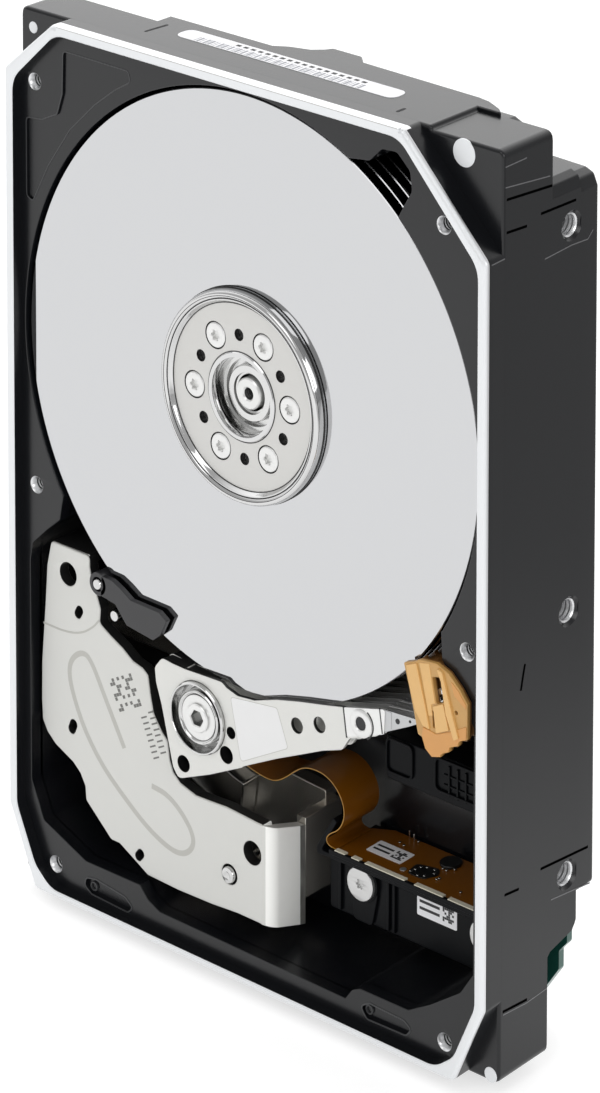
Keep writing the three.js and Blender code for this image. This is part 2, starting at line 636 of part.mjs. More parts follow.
function latch() {
  const [x, z] = LATCH_PIVOT;
  const lever = [
    [-32.6, 58.2], [-30.4, 59.4], [-26.0, 57.6], [-23.8, 56.4], [-17.6, 56.3], [-15.9, 55.3],
    [-17.3, 52.6], [-18.9, 51.3], [-24.8, 52.0], [-27.3, 54.4], [-32.6, 54.6],
  ];
  const body = plate(lever, 23.6, 24.5).add(rod(x, z, 1.8, 18, 23.8, 16));
  return body.subtract(rod(x, z, 1.2, 17, 26, 16));
}

// ---- Assembly ----

addPiece('base_casting', baseCasting(), 'casting');
addPiece('stator', stator(), 'copper');
addPiece('spindle_shaft', spindleShaft(), 'steel');
addPiece('lower_yoke', lowerYoke(), 'nickel');
addPiece('upper_yoke', upperYoke(), 'nickel');
addPiece('lower_magnet', magnet(LOWER_YOKE_TOP, LOWER_MAGNET_TOP), 'magnet');
addPiece('upper_magnet', magnet(UPPER_MAGNET_LOW, UPPER_YOKE_LOW), 'magnet');
addPiece('yoke_dowel', rod(DOWEL[0], DOWEL[1], 1.5, FLOOR, 23.0, 16), 'steel');
addPiece('crash_stop', crashStop(), 'rubber');
addPiece('pivot_shaft', pivotShaft(), 'steel');
addPiece('load_ramp', loadRamp(), 'ramp');
addPiece('ramp_screw', screw(...RAMP_SCREW, RAMP_SCREW_HEAD.radius, RAMP_SCREW_HEAD.low,
  RAMP_SCREW_HEAD.high, 0.85, 19.5), 'steel');
addPiece('latch_pin', rod(...LATCH_PIVOT, 1.0, FLOOR, 24.7, 16), 'steel');
addPiece('flex_cable', flexCable(), 'flex');
addPiece('flex_bracket', flexBracket(), 'black');
addPiece('flex_board', block(12.6, 45.4, FLEX_LOW, FLEX_BOARD_HIGH,
  BRACKET_SHELF[1], FLEX_BOARD_TOP_Z), 'flex');
BRACKET_SCREWS.forEach(([x, z], i) => {
  addPiece(`bracket_screw_${i + 1}`, screw(x, z, 2.7, BRACKET_WALL_TOP, 16.3, 1.0, 10), 'steel');
});
addPiece('desiccant_box', block(18.8, 46.8, FLOOR, 12.5, 35.8, 43.2), 'black');
addPiece('air_filter', plate([[30.2, 135.6], [32.4, 137.8], [30.2, 140.2], [28.0, 138.2]],
  FLOOR, 21), 'filter');
addPiece('circuit_board', circuitBoard(), 'board');
addPiece('sata_connector', sataConnector(), 'black');

addPiece('spindle_hub', spindleHub(), 'machined');
addPiece('rotor_magnet', ring(0, SPINDLE_Z, 10.4, 9.7, 7.4, 14, 24), 'magnet');
for (let i = 0; i < PLATTERS; i += 1) {
  const face = TOP_PLATTER_FACE - i * PITCH;
  addPiece(`platter_${i + 1}`, ring(0, SPINDLE_Z, PLATTER_RADIUS, PLATTER_BORE,
    face - PLATTER_THICK, face, 40), 'platter');
  if (i < PLATTERS - 1) {
    addPiece(`disk_spacer_${i + 1}`, ring(0, SPINDLE_Z, SPACER_RADIUS, SPACER_BORE,
      face - PITCH, face - PLATTER_THICK, 20), 'machined');
  }
}
addPiece('disk_clamp', diskClamp(), 'nickel');
for (let i = 0; i < CLAMP_SCREWS; i += 1) {
  const [x, z] = clampPoint(CLAMP_SCREW_CIRCLE, CLAMP_SCREW_ANGLE, i);
  addPiece(`clamp_screw_${i + 1}`, screw(x, z, 2.2, 24.0, 24.75, 0.9, 20), 'steel');
}

addPiece('arm_block', armBlock(), 'machined');
addPiece('pivot_sleeve', pivotSleeve(), 'steel');
addPiece('voice_coil', voiceCoil(), 'copper');
addPiece('coil_frame', coilFrame(), 'black');
for (let i = 0; i < ARMS; i += 1) addPiece(`suspension_${i + 1}`, suspension(i), 'steel');
addPiece('latch', latch(), 'black');

export default group;
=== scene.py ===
"""Looks of an opened 3.5-inch hard disk drive, standing on its connector end.

Lengths are in millimetres until a point is placed. A height is measured from the
circuit-board face towards the open side, which faces -Y.
"""
import json
import math

import bmesh
import bpy
from mathutils import Matrix, Vector
from mathutils.geometry import tessellate_polygon


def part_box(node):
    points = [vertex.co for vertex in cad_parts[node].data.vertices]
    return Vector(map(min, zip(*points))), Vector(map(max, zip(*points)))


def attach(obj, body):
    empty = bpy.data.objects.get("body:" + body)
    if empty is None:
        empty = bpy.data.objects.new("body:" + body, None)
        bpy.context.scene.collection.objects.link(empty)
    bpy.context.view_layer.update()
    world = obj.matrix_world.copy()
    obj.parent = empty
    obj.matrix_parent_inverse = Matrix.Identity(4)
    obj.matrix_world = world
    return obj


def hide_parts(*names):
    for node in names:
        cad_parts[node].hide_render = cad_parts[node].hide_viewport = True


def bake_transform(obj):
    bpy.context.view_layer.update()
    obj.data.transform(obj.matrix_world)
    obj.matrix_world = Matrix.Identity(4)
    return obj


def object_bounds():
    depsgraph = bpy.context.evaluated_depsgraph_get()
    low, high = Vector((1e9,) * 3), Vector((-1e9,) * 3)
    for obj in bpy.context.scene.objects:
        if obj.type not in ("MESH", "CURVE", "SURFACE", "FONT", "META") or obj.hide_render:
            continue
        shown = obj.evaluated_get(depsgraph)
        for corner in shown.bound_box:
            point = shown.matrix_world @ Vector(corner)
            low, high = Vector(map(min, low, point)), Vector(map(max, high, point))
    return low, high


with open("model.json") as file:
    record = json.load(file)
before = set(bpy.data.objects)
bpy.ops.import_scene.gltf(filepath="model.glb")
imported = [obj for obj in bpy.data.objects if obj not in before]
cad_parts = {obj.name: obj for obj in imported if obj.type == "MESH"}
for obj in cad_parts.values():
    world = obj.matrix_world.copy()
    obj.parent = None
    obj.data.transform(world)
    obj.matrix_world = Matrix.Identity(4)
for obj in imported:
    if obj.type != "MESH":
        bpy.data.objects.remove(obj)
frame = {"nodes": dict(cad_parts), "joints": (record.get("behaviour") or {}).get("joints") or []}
SIZE_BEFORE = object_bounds()

MM = 0.001
RAD = math.pi / 180


# ---------------------------------------------------------------- sizes from the frame

def to_mm(length):
    return round(length / MM, 3)


HALF_WIDTH, HALF_DEPTH, BODY_HIGH = (to_mm(length) for length in SIZE_BEFORE[1])


def heights(node):
    """How high a frame node starts and ends above the board face."""
    low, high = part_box(node)
    return HALF_DEPTH - to_mm(high[1]), HALF_DEPTH - to_mm(low[1])


def centre_of(node):
    """The middle of a frame node, as (x, z)."""
    low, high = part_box(node)
    return to_mm((low[0] + high[0]) / 2), to_mm((low[2] + high[2]) / 2)


def axis(name):
    """Where a joint's axis crosses the open face, as (x, z)."""
    place = next(joint["pos_m"] for joint in frame["joints"] if joint["name"] == name)
    return to_mm(place[0]), to_mm(place[2])


# Casting heights
FLOOR = heights("spindle_shaft")[0]
BOARD_RECESS = 4.2
REAR_TOP = 10.8
BLOCK_TOP = 21.8
LEDGE = 23.8
RIM = 2 * HALF_DEPTH
SILVER_FROM = 24.85

# Platter stack
SPINDLE = axis("spindle_spin")
PLATTERS = sum(node.startswith("platter_") for node in frame["nodes"])
PLATTER_RADIUS = to_mm(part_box("platter_1")[1][0]) - SPINDLE[0]
PLATTER_LOW, TOP_FACE = heights("platter_1")
PLATTER_THICK = TOP_FACE - PLATTER_LOW
PITCH = TOP_FACE - heights("platter_2")[1]
SHROUD = 48.1
BULGE_INNER = 46.5
BULGE_OUTER = 48.9
BULGE_LOW = FLOOR - 0.9
BULGE_SPAN = (66, 114)
CLAMP_SCREWS = 6
SCREW_CIRCLE = 10.1
SCREW_ANGLE = 3.5
EYE_CIRCLE = 9.75
EYE_ANGLE = 33.5

# Actuator
PIVOT = axis("actuator_swing")
ARMS = PLATTERS + 1
TOP_ARM = TOP_FACE - PLATTER_THICK / 2 + PITCH / 2
ARM_HALF = 0.35
HEAD_ANGLE = 16.6

# Side and rear mounting holes
SIDE_HOLE_HEIGHT = 6.35
MOUNT_PITCH = 0.79
MOUNT_RADIUS = 1.75
THREAD_RADIUS = 1.72


# ---------------------------------------------------------------- placing

def front(u, v, w):
    """Seen from the open side: u across, v up, w height above the board face."""
    return Vector((u * MM, (HALF_DEPTH - w) * MM, v * MM))


def top(u, v, w):
    """Seen from the top end: u across, v height above the board face, w up."""
    return Vector((u * MM, (HALF_DEPTH - v) * MM, w * MM))


def side(u, v, w):
    """Seen from a long side: u height above the board face, v up, w across."""
    return Vector((w * MM, (HALF_DEPTH - u) * MM, v * MM))


def across(u, v, w):
    """For plates cut across the drive: u up, v height above the board face, w across."""
    return front(w, u, v)


def on(place, level):
    """The same placing with its third measure counted from a level."""
    return lambda u, v, w: place(u, v, level + w)


# ---------------------------------------------------------------- outlines

def ccw(points):
    area = sum(a[0] * b[1] - b[0] * a[1] for a, b in zip(points, points[1:] + points[:1]))
    return list(points) if area > 0 else list(points)[::-1]


def corners(points):
    """Each point with its neighbours before and after, round a closed outline."""
    for a, b, c in zip(points[-1:] + points[:-1], points, points[1:] + points[:1]):
        yield Vector(a), Vector(b), Vector(c)


def inset(points, distance):
    """The outline moved inwards by a mitre; a negative distance moves it outwards."""
    moved = []
    for a, b, c in corners(points):
        e1 = (b - a).normalized()
        e2 = (c - b).normalized()
        n1 = Vector((-e1.y, e1.x))
        n2 = Vector((-e2.y, e2.x))
        bisector = n1 + n2
        if bisector.length < 1e-6:
            bisector = n1
        bisector.normalize()
        scale = distance / max(bisector.dot(n1), 0.4)
        moved.append(tuple(b + bisector * scale))
    return moved


def fillet(points, radius, steps=4):
    """The outline with each corner rounded as far as its edges allow."""
    rounded = []
    for a, b, c in corners(points):
        to_a, to_c = a - b, c - b
        angle = to_a.angle(to_c, math.pi)
        if angle > 3.05 or to_a.length < 1e-6 or to_c.length < 1e-6:
            rounded.append(tuple(b))
            continue
        reach = min(radius / math.tan(angle / 2), to_a.length * 0.45, to_c.length * 0.45)
        start = b + to_a.normalized() * reach
        end = b + to_c.normalized() * reach
        for t in (k / steps for k in range(steps + 1)):
            rounded.append(tuple((1 - t) ** 2 * start + 2 * t * (1 - t) * b + t * t * end))
    return rounded


def smooth(points, times=3):
    """Rounds an open path by cutting its corners."""
    for _ in range(times):
        cut = [points[0]]
        for a, b in zip(points, points[1:]):
            cut.append((a[0] * 0.75 + b[0] * 0.25, a[1] * 0.75 + b[1] * 0.25))
            cut.append((a[0] * 0.25 + b[0] * 0.75, a[1] * 0.25 + b[1] * 0.75))
        points = cut + points[-1:]
    return points


def mirrored(half):
    """A closed outline from its right half."""
    return half + [(-x, z) for x, z in reversed(half)]


def polar(centre, radius, angle):
    return (centre[0] + radius * math.cos(angle * RAD), centre[1] + radius * math.sin(angle * RAD))


def circle(x, z, radius, sides=48):
    turns = (2 * math.pi * i / sides for i in range(sides))
    return [(x + radius * math.cos(t), z + radius * math.sin(t)) for t in turns]


def arc(x, z, radius, start, end, steps):
    return [polar((x, z), radius, start + (end - start) * i / steps) for i in range(steps + 1)]


def sector(x, z, inner, outer, start, end, steps=24):
    return arc(x, z, outer, start, end, steps) + arc(x, z, inner, end, start, steps)


def box_outline(x0, z0, x1, z1):
    return [(x0, z0), (x1, z0), (x1, z1), (x0, z1)]


def slot_outline(x0, z0, x1, z1, radius, steps=8):
    """A rounded slot between two end centres."""
    angle = math.atan2(z1 - z0, x1 - x0) / RAD
    far_end = arc(x1, z1, radius, angle - 90, angle + 90, steps)
    return far_end + arc(x0, z0, radius, angle + 90, angle + 270, steps)


def star(x, z, outer, inner, lobes=6, sides=48):
    """The wavy outline of a six-lobe driver socket."""
    mid, swing = (outer + inner) / 2, (outer - inner) / 2
    turns = (2 * math.pi * i / sides for i in range(sides))
    return [polar((x, z), mid + swing * math.cos(lobes * t), t / RAD) for t in turns]


# ---------------------------------------------------------------- solids

class Shape:
    """Collects closed shells into one object."""

    def __init__(self):
        self.bm = bmesh.new()

    def _loop(self, points, level, place):
        return [self.bm.verts.new(place(u, v, level)) for u, v in points]

    def _face(self, verts, mat):
        unlike = list(dict.fromkeys(verts))
        if len(unlike) > 2:
            self.bm.faces.new(unlike).material_index = mat

    def _wall(self, low, high, mat):
        for i, (a, b) in enumerate(zip(low, high)):
            j = (i + 1) % len(low)
            self._face((a, low[j], high[j], b), mat)

    def stack(self, outers, holes=(), mat=0, place=front):
        """A shell from a list of (level, outline) rings and matching lists for its holes."""
        lists = [[(level, ccw(points)) for level, points in rings] for rings in (outers, *holes)]
        loops = [[self._loop(points, level, place) for level, points in rings] for rings in lists]
        for rings in loops:
            for low, high in zip(rings, rings[1:]):
                self._wall(low, high, mat)
        for end in (0, -1):
            if not holes:
                self._face(loops[0][end], mat)
                continue
            verts = [vert for rings in loops for vert in rings[end]]
            flat = [[Vector((u, v, 0)) for u, v in rings[end][1]] for rings in lists]
            for three in tessellate_polygon(flat):
                self._face([verts[k] for k in three], mat)
        return self

    def plate(self, outline, low, high, holes=(), edge=0, mat=0, place=front,
              bottom_edge=None, hole_edge=None):
        """A flat plate whose edges are rounded by edge."""
        foot = edge if bottom_edge is None else bottom_edge
        rim = edge if hole_edge is None else hole_edge
        outers = self.profile(ccw(outline), low, high, foot, edge, 1)
        inners = [self.profile(ccw(hole), low, high, min(foot, rim), rim, -1) for hole in holes]
        return self.stack(outers, inners, mat, place)

    @staticmethod
    def profile(points, low, high, foot, head, sign=1):
        """Rings of an upright wall, rounded by foot at its low end and by head at its high end."""
        turns = [i / 3 * math.pi / 2 for i in range(4)]
        low_end = [(low + foot * (1 - math.cos(t)), inset(points, sign * foot * (1 - math.sin(t))))
                   for t in turns[:-1] if foot > 0]
        high_end = [(high - head * (1 - math.sin(t)), inset(points, sign * head * (1 - math.cos(t))))
                    for t in turns[1:] if head > 0]
        return low_end + [(low + foot, points), (high - head, points)] + high_end

    def box(self, x0, z0, x1, z1, low, high, **finish):
        return self.plate(box_outline(x0, z0, x1, z1), low, high, **finish)

    def rod(self, x, z, radius, low, high, sides=48, **finish):
        return self.plate(circle(x, z, radius, sides), low, high, **finish)

    def ribbon(self, path, half, low, high, mat=0, place=front):
        """A flat strip of even width along an open path."""
        left, right = [], []
        for before, point, after in zip(path[:1] + path[:-1], path, path[1:] + path[-1:]):
            ahead = (Vector(after) - Vector(before)).normalized()
            across = Vector((-ahead.y, ahead.x)) * half
            left.append(tuple(Vector(point) + across))
            right.append(tuple(Vector(point) - across))
        outline = left + right[::-1]
        return self.stack([(low, outline), (high, outline)], mat=mat, place=place)

    def lathe(self, profile, x, z, sides=64, mat=0, place=front):
        """A turned ring from a closed profile of (radius, level) points."""
        rings = []
        for radius, level in profile:
            if radius < 1e-6:
                rings.append([self.bm.verts.new(place(x, z, level))] * sides)
            else:
                rings.append(self._loop(circle(x, z, radius, sides), level, place))
        off_axis = profile[0][0] > 1e-6 or profile[-1][0] > 1e-6
        for low, high in zip(rings, rings[1:] + rings[:off_axis]):
            self._wall(low, high, mat)
        return self

    def threads(self, x, z, radius, low, high, pitch, mat=0, place=front):
        """A tapped wall: a ring whose bore rises and falls once per turn."""
        profile = [(radius + 0.35, high), (radius + 0.35, low)]
        level = low
        while level < high - pitch:
            profile += [(radius, level), (radius - 0.17, level + pitch / 2)]
            level += pitch
        profile.append((radius, high - 0.05))
        return self.lathe(profile, x, z, 32, mat, place)

    def screw_head(self, x, z, radius, low, high, lobe, root):
        """A low round head with a six-lobe socket, as a ring round the socket and its floor."""
        floor = high - 0.55 * (high - low) - 0.1
        rings = self.profile(circle(x, z, radius), low, high, 0, min(0.25, (high - low) * 0.3))
        socket = star(x, z, lobe, root)
        hole = [(level, socket) for level, _ in rings[:-1]]
        hole.append((rings[-1][0], inset(ccw(socket), -0.05)))
        self.stack(rings, [hole])
        return self.plate(circle(x, z, lobe + 0.15, 32), low, floor)

    def paint(self, choose):
        """Gives each face the material index that choose(x, h, z, normal) returns, if any."""
        bmesh.ops.recalc_face_normals(self.bm, faces=self.bm.faces)
        for face in self.bm.faces:
            centre = face.calc_center_median() / MM
            index = choose(centre.x, HALF_DEPTH - centre.y, centre.z, face.normal)
            if index is not None:
                face.material_index = index
        return self

    def to_object(self, name):
        bmesh.ops.recalc_face_normals(self.bm, faces=self.bm.faces)
        mesh = bpy.data.meshes.new(name)
        self.bm.to_mesh(mesh)
        self.bm.free()
        made = bpy.data.objects.new(name, mesh)
        bpy.context.scene.collection.objects.link(made)
        return made

    def finish(self, name, body, mats, slot, nodes=(), sharp=38, cutters=()):
        """Makes the piece, cuts it by other shapes, and says what it rides on and replaces."""
        piece = self.to_object(name)
        tools = [shape.to_object("cutter") for shape in cutters]
        for tool in tools:
            cut = piece.modifiers.new("cut", "BOOLEAN")
            cut.operation = "DIFFERENCE"
            cut.solver = "EXACT"
            cut.object = tool
        if tools:
            graph = bpy.context.evaluated_depsgraph_get()
            solid = bpy.data.meshes.new_from_object(piece.evaluated_get(graph))
            piece.modifiers.clear()
            piece.data = solid
        for tool in tools:
            bpy.data.objects.remove(tool)
        for mat in mats:
            piece.data.materials.append(mat)
        soften(piece.data, sharp)
        weighted = piece.modifiers.new("weighted", "WEIGHTED_NORMAL")
        weighted.keep_sharp = True
        if body:
            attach(piece, body)
        if nodes:
            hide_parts(*nodes)
        return piece


def soften(mesh, sharp):
    """Smooth shading, kept crisp where two faces meet at more than sharp degrees."""
    bm = bmesh.new()
    bm.from_mesh(mesh)
    for face in bm.faces:
        face.smooth = True
    for edge in bm.edges:
        edge.smooth = len(edge.link_faces) == 2 and edge.calc_face_angle(0) < sharp * RAD
    bm.to_mesh(mesh)
    bm.free()


# ---------------------------------------------------------------- materials

def add_node(tree, kind, inputs, operation=None):
    """Adds a shader node whose inputs are values, or outputs of other nodes."""
    made = tree.nodes.new("ShaderNode" + kind)
    if operation:
        made.operation = operation
    connect(tree, made, inputs)
    return made


def connect(tree, node, inputs):
    for name, value in inputs.items():
        if isinstance(value, bpy.types.NodeSocket):
            tree.links.new(value, node.inputs[name])
        else:
            node.inputs[name].default_value = value


def material(name, colour, metallic=0, roughness=0.5, coat=0, specular=0.5,
             mottle=0, mottle_scale=400, bump=0, bump_scale=2500, rough_swing=0,
             stretch=(1, 1, 1)):
    """A procedural surface: an even colour with a little noise in tone, gloss and relief."""
    mat = bpy.data.materials.new(name)
    mat.use_nodes = True
    tree = mat.node_tree
    shader = tree.nodes["Principled BSDF"]
    connect(tree, shader, {
        "Metallic": metallic, "Roughness": roughness, "Coat Weight": coat,
        "Coat Roughness": 0.15, "Specular IOR Level": specular})
    where = add_node(tree, "TexCoord", {})
    place = add_node(tree, "Mapping", {"Scale": stretch, "Vector": where.outputs["Object"]})
    noise = add_node(tree, "TexNoise", {
        "Scale": mottle_scale, "Detail": 3, "Vector": place.outputs["Vector"]})
    tone = add_node(tree, "MapRange", {
        "To Min": 1 - mottle, "To Max": 1 + mottle, "Value": noise.outputs["Fac"]})
    mix = add_node(tree, "VectorMath", {0: colour, "Scale": tone.outputs["Result"]}, "SCALE")
    connect(tree, shader, {"Base Color": mix.outputs["Vector"]})
    if rough_swing:
        gloss = add_node(tree, "MapRange", {
            "To Min": max(0.01, roughness - rough_swing), "To Max": roughness + rough_swing,
            "Value": noise.outputs["Fac"]})
        connect(tree, shader, {"Roughness": gloss.outputs["Result"]})
    if bump:
        grain = add_node(tree, "TexNoise", {
            "Scale": bump_scale, "Detail": 2, "Vector": place.outputs["Vector"]})
        relief = add_node(tree, "Bump", {
            "Strength": bump, "Distance": 0.0001, "Height": grain.outputs["Fac"]})
        connect(tree, shader, {"Normal": relief.outputs["Normal"]})
    return mat


BLACK = material(
    "casting_coat", (0.0038, 0.0043, 0.0056), 0, 0.25, specular=0.42, mottle=0.1, bump=0.06,
    bump_scale=1800)
# Painted shadow for dark lines on the side faces.
SIDE_SHADOW = material("deep_shadow", (0.001, 0.001, 0.001), 0, 0.9, specular=0)
# Painted highlight for bright lines on the side faces.
SIDE_GLINT = material("painted_edge_highlight", (0.11, 0.11, 0.115), 0, 0.4, specular=0.5, mottle=0.05)
# Painted highlight: a lighter copy of the casting black along recess and hole edges.
EDGE_GLINT = material("painted_edge_glint", (0.028, 0.029, 0.031), 0, 0.4, specular=0.5, mottle=0.05)
# Painted shade: matt dark strips for shaded grooves on the top end.
GROOVE_SHADE = material("painted_groove_shade", (0.03, 0.03, 0.032), 0, 0.7, specular=0.2, mottle=0.1)
BAND = material(
    "rim_face", (0.76, 0.775, 0.79), 0.35, 0.4, mottle=0.02, bump=0.03, rough_swing=0.04,
    stretch=(1, 1, 0.15))
SILVER = material(
    "machined_rim", (0.70, 0.705, 0.715), 0.8, 0.3, mottle=0.03, bump=0.05, rough_swing=0.05,
    stretch=(1, 1, 0.15))
MIRROR = material("platter_mirror", (0.545, 0.55, 0.56), 1, 0.025, mottle=0.004)
EDGE = material("platter_edge", (0.45, 0.45, 0.46), 1, 0.2, mottle=0.02)
ALU = material(
    "machined_aluminium", (0.66, 0.66, 0.635), 0.45, 0.38, mottle=0.02, bump=0.04, rough_swing=0.04)
ALU_FACED = material("faced_aluminium", (0.71, 0.71, 0.71), 0.5, 0.3, mottle=0.015)
ALU_BRIGHT = material("polished_aluminium", (0.62, 0.62, 0.615), 1, 0.14, mottle=0.02)
STEEL = material("bright_steel", (0.58, 0.58, 0.575), 1, 0.13, mottle=0.03)
STEEL_SATIN = material("satin_steel", (0.62, 0.62, 0.615), 0.85, 0.34, mottle=0.04, bump=0.05)
NICKEL = material(
    "nickel_plate", (0.62, 0.62, 0.595), 0.3, 0.42, mottle=0.015, bump=0.03, rough_swing=0.03)
# Painted shade: a greyer copy of the nickel tone for grooves, steps and edge lines.
SHADE_GREY = material("painted_grey_shade", (0.47, 0.465, 0.435), 0.3, 0.5, mottle=0.03)
NICKEL_POLISHED = material("polished_nickel", (0.70, 0.67, 0.61), 0.85, 0.22, mottle=0.03)
# Painted light: the flange is the same nickel plate, as a near-white matt copy so it looks lit.
FLANGE_LIT = material("painted_lit_flange", (0.93, 0.93, 0.90), 0, 0.45, mottle=0.02)
# Painted shade on the flange's lower band, mottled and bumped like a sheared end.
FLANGE_END_SHADE = material(
    "sheared_end_painted_shade", (0.30, 0.30, 0.28), 0.5, 0.4, mottle=0.6, mottle_scale=900, bump=0.8,
    bump_scale=1500, stretch=(1, 1, 0.4))
# Painted shade: near-black for shade and dark reflections in holes, recesses and walls turned from the
# light.
PAINTED_SHADE = material("painted_dark_shade", (0.03, 0.03, 0.03), 0.6, 0.35, mottle=0.1)
MARKING = material("etched_mark", (0.16, 0.16, 0.15), 0.1, 0.6, mottle=0.05)
BEAM = material("load_beam", (0.50, 0.505, 0.51), 0.5, 0.35, mottle=0.02)
CLAMP_FACE = material("clamp_face", (0.585, 0.58, 0.562), 0.5, 0.36, mottle=0.01)
FACED_STEEL = material("screw_face", (0.74, 0.74, 0.73), 0.6, 0.28, mottle=0.03)
POLISHED = material("polished_clamp", (0.60, 0.60, 0.60), 1, 0.08, mottle=0.01)
MAGNET = material("magnet_plate", (0.45, 0.44, 0.42), 1, 0.18, mottle=0.05)
COPPER = material("copper_wire", (0.55, 0.2, 0.07), 1, 0.3, mottle=0.1)
PLASTIC = material(
    "black_plastic", (0.0035, 0.004, 0.005), 0, 0.3, specular=0.08, mottle=0.1, bump=0.04)
PLASTIC_GREY = material("latch_plastic", (0.018, 0.018, 0.02), 0, 0.35, mottle=0.1, bump=0.05)
# One plastic in lit and shaded copies: painted light on ridge tops, a plain tan, painted half shade and
# painted deep shade.
RAMP_LIT = material("ramp_plastic", (0.70, 0.42, 0.15), 0, 0.4, coat=0.1, mottle=0.05, bump=0.05)
RAMP_MID = material("ramp_tan", (0.52, 0.29, 0.085), 0, 0.4, coat=0.1, mottle=0.08, bump=0.05)
RAMP_HALF_SHADE = material("ramp_painted_half_shade", (0.60, 0.285, 0.075), 0, 0.4, coat=0.1, mottle=0.08, bump=0.05)
RAMP_DEEP = material("ramp_shade", (0.17, 0.075, 0.02), 0, 0.35, coat=0.1, mottle=0.12, bump=0.05)
CREAM = material("stiffener_edge", (0.66, 0.62, 0.50), 0, 0.4, mottle=0.05)
FLEX = material(
    "polyimide_film", (0.17, 0.056, 0.0016), 0, 0.3, coat=0.25, mottle=0.12, mottle_scale=250)
FLEX_EDGE = material("film_edge", (0.40, 0.20, 0.02), 0, 0.4, mottle=0.05)
PAPER = material("label_paper", (0.82, 0.82, 0.84), 0, 0.6, mottle=0.01)
# Print on the labels, also used as painted shade on the top suspension.
INK_AND_SHADE = material("label_ink_and_painted_shade", (0.02, 0.02, 0.022), 0, 0.6, mottle=0.02)
FADED_INK = material("faded_ink", (0.30, 0.31, 0.34), 0, 0.6, mottle=0.02)
SOLDER = material("solder", (0.8, 0.8, 0.78), 1, 0.22, mottle=0.04)
# Chip bodies, also used as painted shade beside the swage boss.
CHIP_AND_SHADE = material("chip_body_and_painted_shade", (0.006, 0.006, 0.006), 0, 0.3, mottle=0.08)
BOARD = material("solder_mask", (0.01, 0.07, 0.055), 0, 0.3, coat=0.4, mottle=0.15, mottle_scale=300)
GOLD = material("gold_contact", (0.75, 0.5, 0.18), 1, 0.25, mottle=0.03)
FILTER = material("felt", (0.10, 0.10, 0.10), 0, 0.95, mottle=0.1, bump=0.6, bump_scale=900)
RUBBER = material("rubber", (0.02, 0.02, 0.02), 0, 0.7, mottle=0.1, bump=0.1)


# ---------------------------------------------------------------- casting

RIM_OUTER = fillet([
    (-44.9, 2), (44.9, 2), (50.8, 15), (50.8, 130), (34.3, 146.5), (-40, 146.5), (-50.8, 137.4),
    (-50.8, 15)], 1.4)
RIM_INNER = fillet([
    (-41.2, 3.3), (41.4, 3.3), (45, 6), (49.2, 15.2), (49.2, 128.9), (33.6, 145), (-39.2, 145),
    (-48.9, 135.9), (-48.9, 15.2), (-44.7, 6.2)], 5, 8)
BLOCK_OUTLINE = fillet([
    (-50.8, 2), (50.8, 2), (50.8, 145.9), (36.6, 145.9), (36.3, 146.5), (-50.8, 146.5)], 1.4)
# The rear body stops short of the top end and is notched at both top corners.
REAR_HALF = [
    (43.8, 2), (43.8, 12), (48.3, 16.5), (48.3, 17.1), (50.8, 17.1), (50.8, 135.4), (50.2, 137.2),
    (48.8, 137.8), (40.2, 137.9), (38.8, 139), (37.6, 141.4), (35, 142.4)]
REAR_OUTLINE = fillet(mirrored(REAR_HALF), 0.5, 3)
FOOT_HALF = [
    (24.2, 75), (44.7, 62.3), (44.7, 24.7), (50.8, 24.7), (50.8, 134.6), (50, 136.4), (48.4, 137),
    (39.4, 137.2), (38, 138.2), (36.8, 140.6), (34.4, 141.6)]
FOOT_OUTLINE = fillet(mirrored(FOOT_HALF), 0.8, 3)
# Raised part of the top end, as (x, height) points
TOP_BOSS = fillet([
    (-7, 10.9), (-4.1, 9.2), (-0.6, 8.2), (1, 6.8), (1.8, 5.6), (7.8, 5.6), (9.8, 7.4), (33.9, 7.9),
    (36.3, 8.3), (39.4, 9.7), (41.2, 11.2), (-7, 11.3)], 0.5, 3)
# The lower side corners are cut back to clear the circuit board, as (height, z) points.
CORNER_CUT = [
    (-1, 1), (10.8, 1), (10.8, 17.2), (10.2, 17.9), (5.1, 19.1), (4.4, 20.1), (4, 21), (3.5, 24.4),
    (-1, 24.8)]
TL_RECESS = fillet([
    (-39.2, 142), (-24.6, 141.9), (-24.2, 140.2), (-27.6, 138.2), (-32.1, 134.8), (-37.7, 129.5),
    (-42.6, 122.6), (-46.2, 115.8), (-47.6, 116.5), (-47.6, 129.4), (-44, 129.8), (-40.6, 131.4),
    (-39.4, 135)], 0.8, 3)

WELL = (
    [(47.3, 57.4), (43.6, 63), (40.9, 66.2), (40.7, 70.4)]
    + arc(*SPINDLE, SHROUD, -31.5, 48.5, 44)
    + fillet([(32.4, 133.1), (34.6, 136.6), (34.2, 139.6), (31.6, 141.9), (28.6, 141.7),
              (26.1, 139.3), (22.6, 138.9)], 1.2, 3)[3:-3]
    + arc(*SPINDLE, SHROUD, 63, 214.4, 80)
    + [(-40.5, 64.6), (-43.5, 62.1), (-46.8, 59), (-47.3, 56), (-47.3, 19),
       (-44.5, 13), (-34.9, 9.3), (-22.7, 9.4), (-20.9, 7.5), (-18.3, 6.4),
       (21.5, 6.2), (22.9, 8), (24.6, 8.8), (34.4, 8.9), (38.8, 11.3), (44.8, 15.3),
       (47.3, 19)])
LEDGE_SCREWS = [(-45.6, 135.6), (-45.7, 69), (-41.7, 6.5), (41, 133), (45.9, 68.9), (41.8, 6.5)]
LEDGE_OBLONGS = [
    fillet([(-34.8, 6.6), (-32.6, 7), (-26, 6.3), (-24.2, 5), (-25.4, 3.9), (-33.6, 4.2),
            (-35.2, 5.2)], 0.8, 3),
    fillet([(24.6, 6.2), (26.6, 7.2), (33.6, 7), (35.2, 6), (34, 4.7), (26, 4.5)], 0.8, 3)]
SIDE_HOLES = [28.5, 70.11, 130.1]
